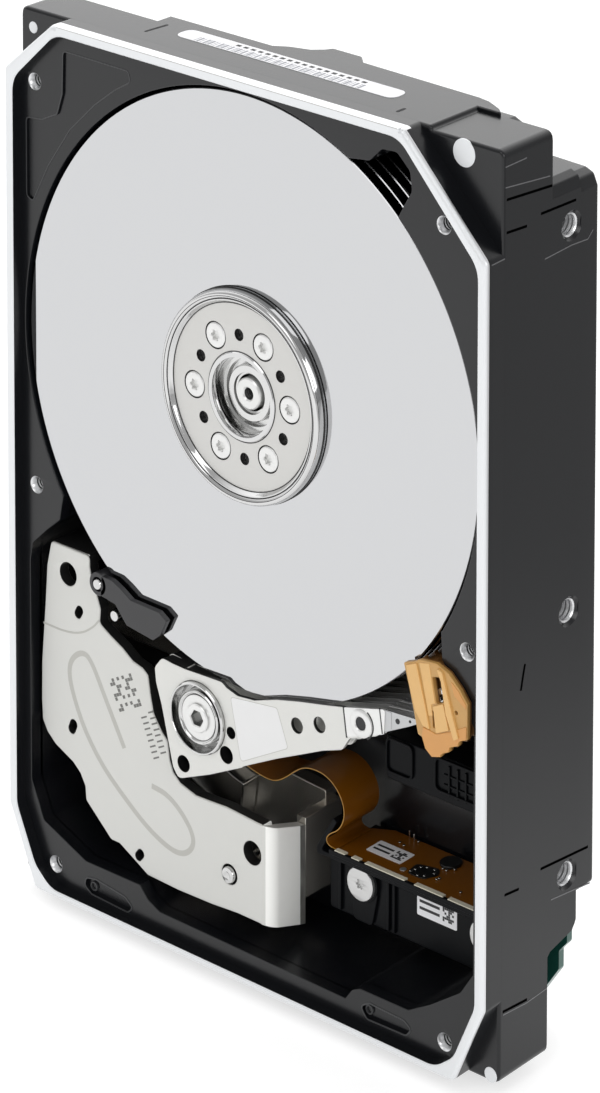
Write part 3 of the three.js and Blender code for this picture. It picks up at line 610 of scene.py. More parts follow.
REAR_HOLES = [(47.62, 41.28), (47.62, 85.73), (-47.62, 41.28), (-47.62, 85.73)]
# Bright ejector dots on the corner blocks: x, z, radius
CORNER_DOTS = [(43.1, 143.9, 2.15), (-48, 143.4, 0.95), (49.2, 3.1, 1.2)]


def rim_rings(points):
    """Rings of the rim's outer edge: upright, then a rounded bevel to the flat band."""
    flare = 0.8
    rise = 0.85
    rings = [(LEDGE, points), (RIM - rise, points)]
    for i in range(1, 5):
        t = i / 4 * math.pi / 2
        rings.append((RIM - rise + rise * math.sin(t), inset(points, flare * (1 - math.cos(t)))))
    return rings


def build_casting():
    build_rim()
    build_ledge()
    build_rear()
    build_side_lines()
    build_bores()


def build_rim():
    rim = Shape()
    inner = ccw(RIM_INNER)
    rim.stack(rim_rings(ccw(RIM_OUTER)),
              [[(LEDGE, inner), (RIM - 0.15, inner), (RIM, inset(inner, -0.15))]])

    def rim_paint(x, h, z, n):
        if z > BODY_HIGH - 0.3 and n.z > 0.8:
            return 1
        if h > SILVER_FROM - 0.02 and n.y < -0.2:
            return 2
        outward = n.x * x + n.z * (z - BODY_HIGH / 2) > 0
        return 1 if h > SILVER_FROM and n.y < 0.1 and outward else 0
    rim.paint(rim_paint)
    # The top edge is square, with a fine grey line of painted shade between its face and its end.
    rim.box(-38.8, 145.6, 33.6, 146.51, SILVER_FROM + 0.02, RIM + 0.01, mat=2, edge=0.03, bottom_edge=0)
    rim.box(-38.6, 146.36, 33.4, 146.44, RIM - 0.12, RIM + 0.025, mat=3)
    rim.finish("casting_rim", "base", [BLACK, SILVER, BAND, SHADE_GREY], "casting")


def build_ledge():
    ledge = Shape()
    holes = [circle(x, z, 1.35, 32) for x, z in LEDGE_SCREWS]
    ledge.plate(RIM_OUTER, BLOCK_TOP - 0.4, LEDGE, [WELL] + holes, hole_edge=0.12, edge=0)
    cuts = [Shape().plate(TL_RECESS, LEDGE - 0.3, LEDGE + 1)]
    for outline in LEDGE_OBLONGS:
        cuts.append(Shape().plate(outline, LEDGE - 0.6, LEDGE + 1))
    ledge.finish("casting_ledge", "base", [BLACK], "casting", cutters=cuts)

    # Low raised strips along the recess and oblong edges, and rims round the oblong holes, lighter as
    # painted highlights.
    glints = Shape().ribbon(TL_RECESS + TL_RECESS[:1], 0.1, LEDGE - 0.02, LEDGE + 0.05)
    for outline in LEDGE_OBLONGS:
        glints.ribbon(outline + outline[:1], 0.12, LEDGE - 0.02, LEDGE + 0.06)
    for x, z in ((-33.4, 5.4), (26.2, 5.9)):
        glints.lathe([
            (0.5, LEDGE - 0.58), (0.8, LEDGE - 0.58), (0.75, LEDGE - 0.3), (0.55, LEDGE - 0.3)], x, z,
            24)
        glints.rod(x, z, 0.5, LEDGE - 0.62, LEDGE - 0.56, mat=1)
    glints.finish("ledge_edge_glints", "base", [EDGE_GLINT, BLACK], "casting")

    block = Shape().plate(
        BLOCK_OUTLINE, REAR_TOP, BLOCK_TOP, [WELL] + holes, edge=0.5, hole_edge=0, bottom_edge=0)
    block.plate(TOP_BOSS, 141, 146.49, place=top, edge=0.25, bottom_edge=0)
    step = Shape().box(-52, 9, -28.4, 13.7, 144.8, 148, place=top)
    block.finish("casting_block", "base", [BLACK], "casting", nodes=["base_casting"], cutters=[step])

    # Two flat strips of painted shade stand for grooves in the top end.
    groove_shades = Shape().plate(slot_outline(-26.3, 18.3, -25.9, 14.2, 0.3), 146.3, 146.51, place=top)
    groove_shades.plate(slot_outline(28.6, 20.3, 28.6, 18.9, 0.3), 146.3, 146.51, place=top)
    groove_shades.finish("end_groove_shades", "base", [GROOVE_SHADE], "casting")


def build_rear():
    # The shroud bulges past the top end of the rear body, closed by a thin wall and floor.
    bulge = Shape().plate(sector(*SPINDLE, SHROUD, BULGE_OUTER, *BULGE_SPAN, 40),
                          BULGE_LOW, REAR_TOP + 0.2)
    bulge.plate(sector(*SPINDLE, BULGE_INNER, SHROUD, *BULGE_SPAN, 40), BULGE_LOW, FLOOR - 0.02)
    bulge.finish("shroud_bulge", "base", [BLACK], "casting")

    rear = Shape().plate(REAR_OUTLINE, BOARD_RECESS, REAR_TOP)
    cuts = [Shape().plate(WELL, FLOOR, REAR_TOP + 5)]
    for sign in (-1, 1):
        cuts.append(Shape().plate(CORNER_CUT, *sorted((sign * 48.3, sign * 52)), place=side))
        for z in SIDE_HOLES:
            bore = circle(SIDE_HOLE_HEIGHT, z, MOUNT_RADIUS, 32)
            mouth = circle(SIDE_HOLE_HEIGHT, z, MOUNT_RADIUS + 0.7, 32)
            rings = [
                (sign * (HALF_WIDTH - 4), bore), (sign * (HALF_WIDTH - 0.6), bore),
                (sign * (HALF_WIDTH + 0.1), mouth)]
            cuts.append(Shape().stack(rings, place=side))
    rear.finish("casting_floor", "base", [BLACK], "casting", cutters=cuts)

    foot = Shape()
    back_holes = [circle(x, z, MOUNT_RADIUS, 32) for x, z in REAR_HOLES]
    foot.plate(FOOT_OUTLINE, 0, BOARD_RECESS, back_holes, edge=0, bottom_edge=0.6, hole_edge=0.1)
    pockets = []
    for start, end in ((18, 72), (78, 102), (108, 162)):
        pockets.append(Shape().plate(fillet(sector(*SPINDLE, 24, 43, start, end), 2, 3), -1, 2.6))
    pockets.append(Shape().plate(circle(*SPINDLE, 19.5, 96), -1, 1.2, [circle(*SPINDLE, 15.5, 96)]))
    foot.finish("casting_back", "base", [BLACK], "casting", cutters=pockets)


def build_bores():
    tapped = Shape()
    for z in SIDE_HOLES:
        for sign in (-1, 1):
            depth = sorted((sign * (HALF_WIDTH - 3.8), sign * (HALF_WIDTH - 0.6)))
            tapped.threads(SIDE_HOLE_HEIGHT, z, THREAD_RADIUS, *depth, MOUNT_PITCH, place=side)
            tapped.lathe([
                (1.6, sign * 50.1), (2.38, sign * 50.72), (2.46, sign * 50.72), (1.8, sign * 49.9)],
                SIDE_HOLE_HEIGHT, z, 40, place=side)
            # A near-black disc of painted shade at the bottom of each side hole.
            tapped.rod(
                SIDE_HOLE_HEIGHT, z, MOUNT_RADIUS, *sorted((sign * 46.8, sign * 47.1)), mat=1,
                place=side)
    for x, z in LEDGE_SCREWS:
        # The deeper threads and a disc at the bottom of each ledge screw hole are painted shade; the
        # upper threads stay bright.
        tapped.threads(x, z, 1.18, 17.8, 23.3, 0.5, 1)
        tapped.threads(x, z, 1.16, 21.6, 23.3, 0.5)
        tapped.lathe([
            (1.12, 23.2), (1.32, 23.74), (1.42, 23.81), (1.46, 23.6), (1.4, 23.2)], x, z, 32, 0)
        tapped.rod(x, z, 1.3, 17.7, 18, mat=1)
    for x, z in REAR_HOLES:
        tapped.threads(x, z, THREAD_RADIUS, 0.4, 4, MOUNT_PITCH)
    for x, z, radius in CORNER_DOTS:
        tapped.rod(x, z, radius, BLOCK_TOP - 0.2, BLOCK_TOP + 0.06, edge=0.05, mat=2)
    tapped.finish("machined_bores", "base", [SILVER, PAINTED_SHADE, BAND], "machined")


# Fine lines on both long side faces, as (height, z) points: bright ones, painted highlights along
# edges, then dark ones, painted shadows.
SIDE_HIGHLIGHTS = [[(21.4, 143.4), (16.7, 143.5)], [(21.4, 140.3), (11.4, 139.2)],
              [(12.5, 126.8), (6.3, 127.1), (2.6, 126.9), (1.4, 128)],
              [(24.4, 129.5), (21.5, 129.6)], [(21, 12.7), (15.5, 12.2), (10.9, 12.4)],
              [(10.1, 26.1), (1, 24.9)]]
SIDE_SHADOWS = [[(21.1, 138.4), (10.9, 137.6)], [(13.4, 134), (5.4, 133.8)],
             [(21.1, 133.4), (16.6, 133.1)], [(12.5, 32), (1.5, 30.9)],
             [(20.7, 31.4), (17.5, 31)], [(16.4, 65.7), (16.9, 63.7), (17.3, 61.9)],
             [(21, 13.2), (15.5, 12.7)]]


def build_side_lines():
    lines = Shape()
    for sign in (-1, 1):
        level = sorted((sign * 50.75, sign * 50.83))
        for path in SIDE_HIGHLIGHTS:
            lines.ribbon(path, 0.09, *level, 0, side)
        for path in SIDE_SHADOWS:
            lines.ribbon(path, 0.2, *level, 1, side)
    lines.finish("side_lines", "base", [SIDE_GLINT, SIDE_SHADOW], "casting")


# ---------------------------------------------------------------- spindle

def build_spindle():
    build_disks()
    build_hub()
    build_clamp()
    build_motor()


def build_disks():
    for k in range(PLATTERS):
        face = TOP_FACE - k * PITCH
        low = face - PLATTER_THICK
        shape = Shape().lathe([
            (12.5, low), (PLATTER_RADIUS - 0.12, low), (PLATTER_RADIUS, low + 0.12),
            (PLATTER_RADIUS, face - 0.12), (PLATTER_RADIUS - 0.12, face), (12.5, face)], *SPINDLE, 160)
        shape.paint(lambda x, h, z, n: 0 if abs(n.y) > 0.95 else 1)
        shape.finish(f"disk_{k + 1}", "spindle", [MIRROR, EDGE], "disk", [f"platter_{k + 1}"], 25)
        if k < PLATTERS - 1:
            ring = Shape().lathe([
                (12.6, face - PITCH + 0.01), (16.1, face - PITCH + 0.01), (16.2, face - PITCH + 0.1),
                (16.2, low - 0.1), (16.1, low - 0.01), (12.6, low - 0.01)], *SPINDLE, 96)
            ring.finish(f"spacer_{k + 1}", "spindle", [ALU], "machined", [f"disk_spacer_{k + 1}"])


def build_hub():
    hub = Shape()
    stack_low = TOP_FACE - (PLATTERS - 1) * PITCH - PLATTER_THICK
    hub.lathe([
        (2.9, 13.3), (5.6, 13.3), (5.6, 18.8), (10.6, 18.8), (10.6, 6.8), (15.3, 6.8), (15.5, 7),
        (15.5, stack_low - 0.01), (12.4, stack_low - 0.01), (12.4, 23.1), (6, 23.1), (5.9, 21.9),
        (5.4, 21.8), (5.3, 21), (4.6, 20.9), (4.5, 22.2), (4.3, 22.4), (3.3, 22.4), (3.2, 22),
        (2.9, 21.9)], *SPINDLE, 96)
    hub.finish("hub", "spindle", [ALU_BRIGHT], "machined", ["spindle_hub"])


def round_spindle(radius, angle):
    """Six evenly spaced places round the spindle, from a first angle."""
    step = 360 / CLAMP_SCREWS
    return [polar(SPINDLE, radius, angle + step * k) for k in range(CLAMP_SCREWS)]


def build_clamp():
    clamp = Shape()
    screws = round_spindle(SCREW_CIRCLE, SCREW_ANGLE)
    seats = [circle(*place, 2.2, 32) for place in screws]
    eyes = [circle(*place, 0.95, 32) for place in round_spindle(EYE_CIRCLE, EYE_ANGLE)]
    clamp.plate(circle(*SPINDLE, 14.6, 128), 23.2, 24.05, [circle(*SPINDLE, 7, 96)] + seats + eyes,
                edge=0, hole_edge=0.05)
    # The walls of the screw seats and eyes are painted shade.
    clamp.paint(lambda x, h, z, n: 2 if abs(n.y) < 0.5 and h < 24.02 else None)
    clamp.lathe([
        (14.6, 23.2), (16.6, 23.2), (16.75, 23.35), (16.75, 24.2), (16.6, 24.7), (16.3, 24.95),
        (16, 25), (15.75, 24.95), (15.5, 24.7), (15.35, 24.7), (15.15, 24.75), (14.95, 24.5),
        (14.7, 24.1), (14.6, 24)], *SPINDLE, 160, 1)
    # Thin rings of painted shade; the outermost is a painted contact shadow.
    for radius, half, level in ((15.42, 0.09, 24.72), (14.68, 0.1, 24.12), (16.82, 0.08, 23.5),
                                (15.9, 0.05, 24.98)):
        clamp.lathe([
            (radius - half, level - 0.1), (radius + half, level - 0.1), (radius + half, level + 0.02),
            (radius - half, level + 0.02)], *SPINDLE, 160, 2)
    clamp.lathe([
        (6.1, 23.2), (7, 23.2), (7, 24.12), (6.85, 24.3), (6.5, 24.36), (6.2, 24.25), (6.1, 24)],
        *SPINDLE, 96, 1)
    # A ring of painted shade round the centre bore.
    clamp.lathe([(7, 23.9), (7.16, 23.9), (7.16, 24.07), (7, 24.07)], *SPINDLE, 96, 2)
    clamp.finish("clamp", "spindle", [CLAMP_FACE, POLISHED, PAINTED_SHADE], "machined", ["disk_clamp"], 34)

    for k, (x, z) in enumerate(screws):
        screw = Shape().screw_head(x, z, 2.02, 23.3, 24.12, 0.95, 0.66)
        screw.rod(x, z, 0.9, 20, 23.4)
        screw.finish(
            f"disk_screw_{k + 1}", "spindle", [FACED_STEEL], "steel",
            [f"clamp_screw_{(k - 1) % CLAMP_SCREWS + 1}"])


# One tooth of the motor's core, as (radius, angle) points
STATOR_TOOTH = [
    (5.1, -14), (6.4, -14), (6.9, -8), (8.3, -8), (8.4, -16), (9.2, -16), (9.2, 16), (8.4, 16),
    (8.3, 8), (6.9, 8), (6.4, 14), (5.1, 14)]


def build_motor():
    magnet = Shape()
    low, high = heights("rotor_magnet")
    magnet.lathe([(9.7, low), (10.4, low), (10.4, high), (9.7, high)], *SPINDLE, 96)
    magnet.finish("motor_magnet", "spindle", [MAGNET], "magnet", ["rotor_magnet"])

    shaft = Shape().lathe([
        (0.95, 20.6), (2.5, 20.6), (2.5, 22.5), (2.3, 22.7), (1.15, 22.7), (0.95, 22.5)], *SPINDLE, 48)
    shaft.rod(*SPINDLE, 2.5, FLOOR, 20.7)
    # The tapped hole's threads are painted shade.
    shaft.threads(*SPINDLE, 0.9, 20.8, 22.5, 0.4, 1)
    shaft.finish("fixed_shaft", "base", [FACED_STEEL, PAINTED_SHADE], "steel", ["spindle_shaft"])

    coils = Shape()
    for k in range(9):
        coils.plate([polar(SPINDLE, r, k * 40 + a) for r, a in STATOR_TOOTH], 9.6, 11.4)
        x, z = polar(SPINDLE, 7.6, k * 40)
        coils.rod(x, z, 1.25, 8.6, 12.4, edge=0.4, mat=1)
    coils.finish("motor_stator", "base", [STEEL_SATIN, COPPER], "copper", ["stator"])


# ---------------------------------------------------------------- head stack

ROOT = fillet([
    (-17.2, 48.7), (-18.6, 46.9), (-18.4, 44.5), (-17.3, 41.2), (-15.7, 35.2), (-14.8, 31.8),
    (-13.4, 30.4), (-6.9, 33), (0.5, 36.6), (0.5, 47.9), (-9.3, 48.5)], 0.8, 3)
ARM = fillet([
    (-17.2, 48.9), (-18.8, 46.9), (-18.5, 44.5), (-17.3, 41.2), (-15.7, 35.2), (-14.8, 31.8),
    (-13.6, 30.2), (-6.9, 33), (-0.8, 36.1), (7.5, 40.2), (12.8, 42.6), (17.2, 44.6), (21.2, 46),
    (22.7, 48.3), (28.8, 50.6), (28.8, 54.6), (24.9, 53.6), (21.2, 52.8), (17.2, 51.9), (12.4, 50.9),
    (7.5, 49.7), (2.8, 48.1), (-0.8, 47.7), (-3.2, 48.3), (-4.2, 48.9), (-9.3, 48.7), (-13.5, 48.5)],
    1.2, 3)
ARM_HOLES = [
    (11.8, 46.9, 1.25), (16.5, 48.5, 1.25), (-2.2, 41.3, 0.95), (-3.2, 37.4, 1.4), (-12.5, 33, 1.35)]
SWAGE = (25.2, 51.5)


def arm_height(index):
    return TOP_ARM - index * PITCH


def arm_tone(x, h, z, n):
    """Painted shade on the walls of the through holes, and a painted dark reflection on the walls that
    face the disks.
    """
    if abs(n.y) > 0.5 or h > arm_height(0) + ARM_HALF - 0.1:
        return None
    hole = any(math.hypot(x - hx, z - hz) < r + 0.02 for hx, hz, r in ARM_HOLES)
    return 1 if hole or n.z > 0.15 else None


def build_arms():
    low = arm_height(ARMS - 1) - ARM_HALF
    high = arm_height(0) + ARM_HALF
    block = Shape()
    bore = circle(*PIVOT, 5.8, 96)
    slot = sector(*PIVOT, 7.5, 20, -16, 114, 32)
    holes = [circle(x, z, r, 40) for x, z, r in ARM_HOLES[2:]]
    block.plate(ROOT, low, high - 0.05, [bore] + holes)
    cut = Shape().plate(slot, low - 1, high + 1)
    block.paint(arm_tone)
    block.finish(
        "arm_block_core", "actuator", [ALU, PAINTED_SHADE], "machined", ["arm_block"], cutters=[cut])

    arms = Shape()
    for k in range(ARMS):
        middle = arm_height(k)
        holes = [bore, circle(*SWAGE, 1.9, 48)] + [circle(x, z, r, 40) for x, z, r in ARM_HOLES]
        arms.plate(ARM, middle - ARM_HALF, middle + ARM_HALF, holes, edge=0.08)
    arms.paint(arm_tone)
    arms.finish("arm_plates", "actuator", [ALU, PAINTED_SHADE], "machined")

    patch = Shape()
    outline = fillet([(-2.2, 47.1), (7.6, 48.4), (9.9, 42.7), (0, 37.4)], 0.5, 3)
    # A slightly larger plate under the patch shows as its outline, in painted shade.
    patch.plate(inset(ccw(outline), -0.1), high - 0.05, high + 0.006, mat=1)
    patch.plate(outline, high - 0.05, high + 0.012)
    patch.finish("polished_patch", "actuator", [ALU_FACED, SHADE_GREY], "machined")

    sleeve = Shape().lathe([
        (3.68, 6.6), (5.75, 6.6), (5.75, 24.75), (5.6, 24.9), (5.4, 24.9), (5.3, 24.75), (5.25, 22.9),
        (5.05, 22.7), (4.5, 22.7), (4.35, 22.9), (4.3, 24.3), (4.15, 24.45), (3.95, 24.45),
        (3.85, 24.3), (3.68, 24.2)], *PIVOT, 96)
    sleeve.finish("bearing_sleeve", "actuator", [STEEL], "steel", ["pivot_sleeve"])

    shaft = Shape()
    socket = circle(*PIVOT, 1.35, 6)
    shaft.plate(circle(*PIVOT, 3.6, 64), 22.1, 24.3, [circle(*PIVOT, 2.2, 48)], edge=0.12)
    shaft.stack([(22, circle(*PIVOT, 2.3, 64)), (24.55, circle(*PIVOT, 2.3, 64)),
                 (24.7, circle(*PIVOT, 2.15, 64))],
                [[(22, socket), (24.55, socket), (24.7, inset(ccw(socket), -0.15))]])
    shaft.rod(*PIVOT, 3.6, FLOOR, 22.1)
    shaft.paint(lambda x, h, z, n: 1 if 21.9 < h < 24.5 and abs(n.y) < 0.5 else 0)
    shaft.finish("pivot_bolt", "base", [FACED_STEEL, STEEL], "steel", ["pivot_shaft"])


def build_suspensions():
    along = Vector((math.cos(HEAD_ANGLE * RAD), math.sin(HEAD_ANGLE * RAD)))
    across = Vector((-along.y, along.x))

    def at(distance, offset):
        point = Vector(PIVOT) + along * distance + across * offset
        return (point.x, point.y)

    base = fillet([(21.9, 47.6), (29.8, 51.2), (30, 55.2), (21.3, 52.9)], 0.6, 3)
    beam = fillet([
        (29.4, 51.3), at(45.5, -0.75), at(47.4, -0.35), at(50.7, -0.3), at(50.7, 0.3), at(47.4, 0.35),
        at(45.5, 0.75), (29.7, 55)], 0.3, 2)
    for k in range(ARMS):
        middle = arm_height(k)
        sides = [s for s in (-1, 1) if (s < 0 and k < ARMS - 1) or (s > 0 and k > 0)]
        shape = Shape().rod(*SWAGE, 1.85, middle - ARM_HALF - 0.03, middle + ARM_HALF + 0.03)
        for s in sides:
            def level(a, b):
                return sorted((middle + s * a, middle + s * b))
            shape.plate(base, *level(ARM_HALF, ARM_HALF + 0.12), [circle(*SWAGE, 1.1, 32)])
            shape.plate(beam, *level(ARM_HALF + 0.02, ARM_HALF + 0.1))
            for sign in (-1, 1):
                rail = [
                    at(40.3, sign * 1.55), at(45.4, sign * 0.72), at(45.4, sign * 0.62),
                    at(40.3, sign * 1.45)]
                shape.plate(rail, *level(ARM_HALF + 0.1, ARM_HALF + 0.22))
            shape.plate(box_path(at, 45.4, 46.6, 0.4), *level(ARM_HALF + 0.12, ARM_HALF + 0.26), mat=1)
        if k == 0:
            detail_top_suspension(shape, at, beam, middle)
        shape.finish(
            f"head_arm_{k + 1}", "actuator", [STEEL_SATIN, CHIP_AND_SHADE, FACED_STEEL, INK_AND_SHADE, BEAM], "steel",
            [f"suspension_{k + 1}"])


def box_path(at, near, far, half, middle=0):
    return [
        at(near, middle - half), at(far, middle - half), at(far, middle + half),
        at(near, middle + half)]


def detail_top_suspension(shape, at, beam, middle):
    """What shows beyond the end of the front arm: swage boss, hinge plate, beam and dimple."""
    face = middle + ARM_HALF
    shape.plate(
        fillet([(22.2, 48.4), (29.8, 51.2), (30, 55.2), (21.5, 52.9)], 0.4, 3), face - 0.3, face + 0.05,
        [circle(*SWAGE, 1.05, 40)], edge=0.03, mat=2)
    shape.lathe([
        (1.05, face - 0.2), (2.2, face - 0.2), (2.2, face + 0.2), (1.95, face + 0.35),
        (1.2, face + 0.35), (1.05, face + 0.2)], *SWAGE, 48, 2)
    # A dark crescent beside the swage boss is painted shade.
    crescent = sector(*SWAGE, 2.3, 2.55, -60, 60, 20)
    shape.plate(crescent, face, face + 0.08, mat=1)
    # A dark disc in the swage hole and dark lines along the hinge plate's edges are painted shade.
    shape.rod(*SWAGE, 1.06, face - 0.4, face + 0.12, mat=3)
    shape.ribbon([(21.5, 53), (22.2, 48.3)], 0.13, face, face + 0.07, 3)
    shape.ribbon([(28.9, 55.1), (29.5, 51.2)], 0.11, face, face + 0.07, 3)
    shape.plate(beam, face - 0.25, face - 0.17, edge=0.02, mat=4)
    shape.plate([(29.3, 51.4), (31.2, 52.3), (31.1, 55), (29.2, 54.9)], face - 0.26, face - 0.1, mat=4)
    shape.rod(*at(43.4, 0), 0.42, face - 0.18, face - 0.1, edge=0.03, mat=3)
    shape.rod(*at(46, 0), 0.22, face - 0.18, face - 0.12, mat=3)
    for offset in (-0.7, 0.15, 0.9):
        shape.plate(box_path(at, 39.75, 40.35, 0.28, offset), face - 0.18, face - 0.08, mat=3)


def build_coil():
    def loop(inner, outer, half, round_by):
        return fillet(sector(*PIVOT, inner, outer, 201 - half, 201 + half, 10), round_by, 5)
    coil = Shape()
    hole = loop(20.6, 26.2, 10, 1.2)
    coil.plate(loop(16.4, 30.4, 20, 3), *heights("voice_coil"), [hole], edge=0.3)
    coil.finish("coil_winding", "actuator", [COPPER], "copper", ["voice_coil"])
    body = Shape().plate(
        fillet(sector(*PIVOT, 11.5, 31.8, 178.5, 223.5, 16), 1.5, 3), 13, 16.5,
        [loop(16.3, 30.5, 20.2, 3)], edge=0.25)
    body.finish("coil_holder", "actuator", [PLASTIC], "black_plastic", ["coil_frame"])


# ---------------------------------------------------------------- magnets

YOKE = fillet([
    (-43.9, 59.7), (-35.2, 59.6), (-35.2, 57.8), (-34.7, 55.8), (-33.6, 53.6), (-32.8, 51.5),
    (-33, 49.1), (-30.6, 47.8), (-27.8, 46.5), (-25.6, 45.1), (-23.4, 44.6), (-22.2, 43.8),
    (-21.7, 40.9), (-21, 37.9), (-19.1, 35.3), (-17.9, 34.3), (-17.4, 31.2), (-16.6, 29.4),
    (-15.1, 28.2), (-11.7, 27.3), (-8.7, 27.4), (-5, 27.6), (-1.4, 27.4), (1.8, 27.2), (3, 27.2),
    (3, 10.95), (1.8, 11), (-2.6, 11), (-8.1, 10.6), (-15.5, 10.4), (-22.3, 10.6), (-25.8, 12.4),
    (-28.6, 13.8), (-30.5, 13.8), (-36.2, 18.6), (-36.4, 20.9), (-37.5, 22.7), (-39.1, 24),
    (-43.2, 25.8), (-45, 27.3), (-46.1, 29.1), (-46.3, 32.4), (-46.2, 39), (-45.8, 43.8), (-45.3, 49.6),
    (-44.9, 55.4)][::-1], 0.8, 3)
YOKE_HOLES = [
    circle(-40.1, 55.2, 1.9, 40), slot_outline(-37.9, 49.2, -37.5, 49.9, 0.75),
    slot_outline(-39.4, 29.5, -39, 30.4, 0.8), slot_outline(-24.4, 13, -23.9, 13.6, 0.75),
    circle(0.6, 21.9, 1.9, 40), circle(-4.3, 16.8, 1.62, 40)]
YOKE_TOP = heights("upper_yoke")[1]
YOKE_LOW = heights("upper_magnet")[1]
FLANGE_SLANT = 0.34


def build_magnets():
    yoke = Shape().plate(YOKE, YOKE_LOW, YOKE_TOP, YOKE_HOLES, edge=0.22)
    bend(yoke)
    yoke.plate([
        (59.7, YOKE_TOP - 0.3), (59.7, 15.5), (58, 15.5), (58, YOKE_TOP - 0.6)], -43.6, -35.4,
        edge=0.15, place=across)
    groove = [
        (-27.4, 30.1), (-31.6, 37), (-35.1, 42.9), (-37.3, 43.1), (-39.6, 41), (-39.9, 38.1),
        (-38.3, 33.9), (-36.1, 29.9), (-32.3, 25.5), (-27.9, 22.2), (-22.3, 18.5), (-17.3, 16.6),
        (-14.2, 16.7), (-12.1, 18.6), (-12.2, 20.9), (-14.8, 23.7), (-17.9, 25.5), (-21.3, 25.8)]
    # The stamped groove, drawn as a flat strip of painted shade.
    yoke.ribbon(smooth(groove), 0.45, YOKE_TOP - 0.01, YOKE_TOP + 0.012, 1)
    step = [(-45.7, 45.5), (-41.1, 45.4), (-37.3, 46.1), (-34.4, 48), (-33, 49.6)]
    # The step, drawn as a thin strip of painted shade.
    yoke.ribbon(smooth(step), 0.16, YOKE_TOP - 0.02, YOKE_TOP + 0.03, 1)
    yoke.paint(yoke_tone)
    for outline in marks():
        yoke.plate(outline, YOKE_TOP - 0.02, YOKE_TOP + 0.012, mat=4)
    yoke.finish("magnet_plate_front", "base",
                [NICKEL, SHADE_GREY, FLANGE_LIT, FLANGE_END_SHADE, MARKING, PAINTED_SHADE], "nickel", ["upper_yoke"])

    lower = Shape().plate(YOKE, FLOOR, heights("lower_magnet")[0],
                          YOKE_HOLES[:1] + YOKE_HOLES[-2:], edge=0.2)
    lower.plate([
        (25.6, 14.5), (25.6, 6.2), (12.4, 6.2), (12.4, 14.5)], 2.4, 4.4, edge=0.2, place=across)
    lower.finish("magnet_plate_back", "base", [NICKEL_POLISHED], "nickel", ["lower_yoke"])

    magnet_outline = fillet(sector(*PIVOT, 16.8, 31, 180, 262), 2, 4)
    for name, node in (("magnet_front", "upper_magnet"), ("magnet_back", "lower_magnet")):
        shape = Shape().plate(magnet_outline, *heights(node), edge=0.3)
        shape.finish(name, "base", [MAGNET], "magnet", [node])

    dowel = Shape().lathe([
        (0, FLOOR), (1.45, FLOOR), (1.45, 22.4), (1.2, 22.9), (0.7, 23.05), (0, 22.7)],
        *centre_of("yoke_dowel"), 40)
    dowel.finish("dowel", "base", [STEEL], "steel", ["yoke_dowel"])
    stop = Shape().rod(*polar(PIVOT, 27, 268.5), 1.4, *heights("crash_stop"), edge=0.2)
    stop.finish("stop_post", "base", [RUBBER], "rubber", ["crash_stop"])


def yoke_tone(x, h, z, n):
    """Material of the hole walls and of the walls facing +x or +z, all painted shade, and of the
    flange's outer face: painted light above height 17 and mottled painted shade below it, towards its
    sheared end.
    """
    if x > 2.7:
        return None if n.x < 0.3 else (2 if h > 17 else 3)
    centres = (
        (-40.1, 55.2, 1.95), (-37.7, 49.5, 1.3), (-39.2, 29.9, 1.4), (-24.1, 13.3, 1.3),
        (0.6, 21.9, 1.95), (-4.3, 16.8, 1.7))
    wall = abs(n.y) < 0.5 and h < YOKE_TOP - 0.1
    if wall and any(math.hypot(x - a, z - b) < r for a, b, r in centres):
        return 5
    return 5 if wall and h < YOKE_TOP - 0.3 and (n.x > 0.2 or n.z > 0.3) else None


def marks():
    """Plain square blocks and short bars, standing for the marking etched in the plate."""
    corner = Vector((-28.4, 35.8))
    along, up = Vector((5, 2.6)) / 9, Vector((-2.5, 4.7)) / 9

    def patch(i, j, w, h):
        return [tuple(corner + along * a + up * b) for a, b in box_outline(i, j, i + w, j + h)]
    bars = []
    for i in range(9):
        for j in range(9):
            if (i * 5 + j * 3 + i * j) % 7 in (0, 2, 5):
                bars.append(patch(i, j, 0.9, 0.9))
    for row in range(2):
        for k in range(4):
            bars.append(patch(7.2 + row * 3.2 - k * 0.2, -3.2 - k * 3.1 + row * 0.8, 2.2, 0.45))
            bars.append(patch(7.2 + row * 3.2 - k * 0.2, -4.8 - k * 3.1 + row * 0.8, 2.2, 0.45))
    return bars


def bend(yoke):
    """The plate's right edge rolls back into a flange with a sheared, slightly ragged end."""
    outer, inner = 2, 0.1
    cx, ch = 2.6, YOKE_TOP - outer
    profile = []
    for i in range(9):
        t = i / 8 * math.pi / 2
        profile.append((cx + outer * math.sin(t), ch + outer * math.cos(t)))
    profile += [
        (cx + outer, 15.9), (cx + outer - 0.12, 14.6), (cx + inner, 14.6), (cx + inner, YOKE_LOW),
        (cx, YOKE_LOW)]

    def slanted(u, v, w):
        return front(u, w - FLANGE_SLANT * (YOKE_TOP - v), v)
    yoke.plate(profile, 10.95, 27.2, edge=0.15, place=slanted)


# ---------------------------------------------------------------- ramp, latch

RAMP_SCREW = centre_of("ramp_screw")
LATCH = axis("latch_swing")

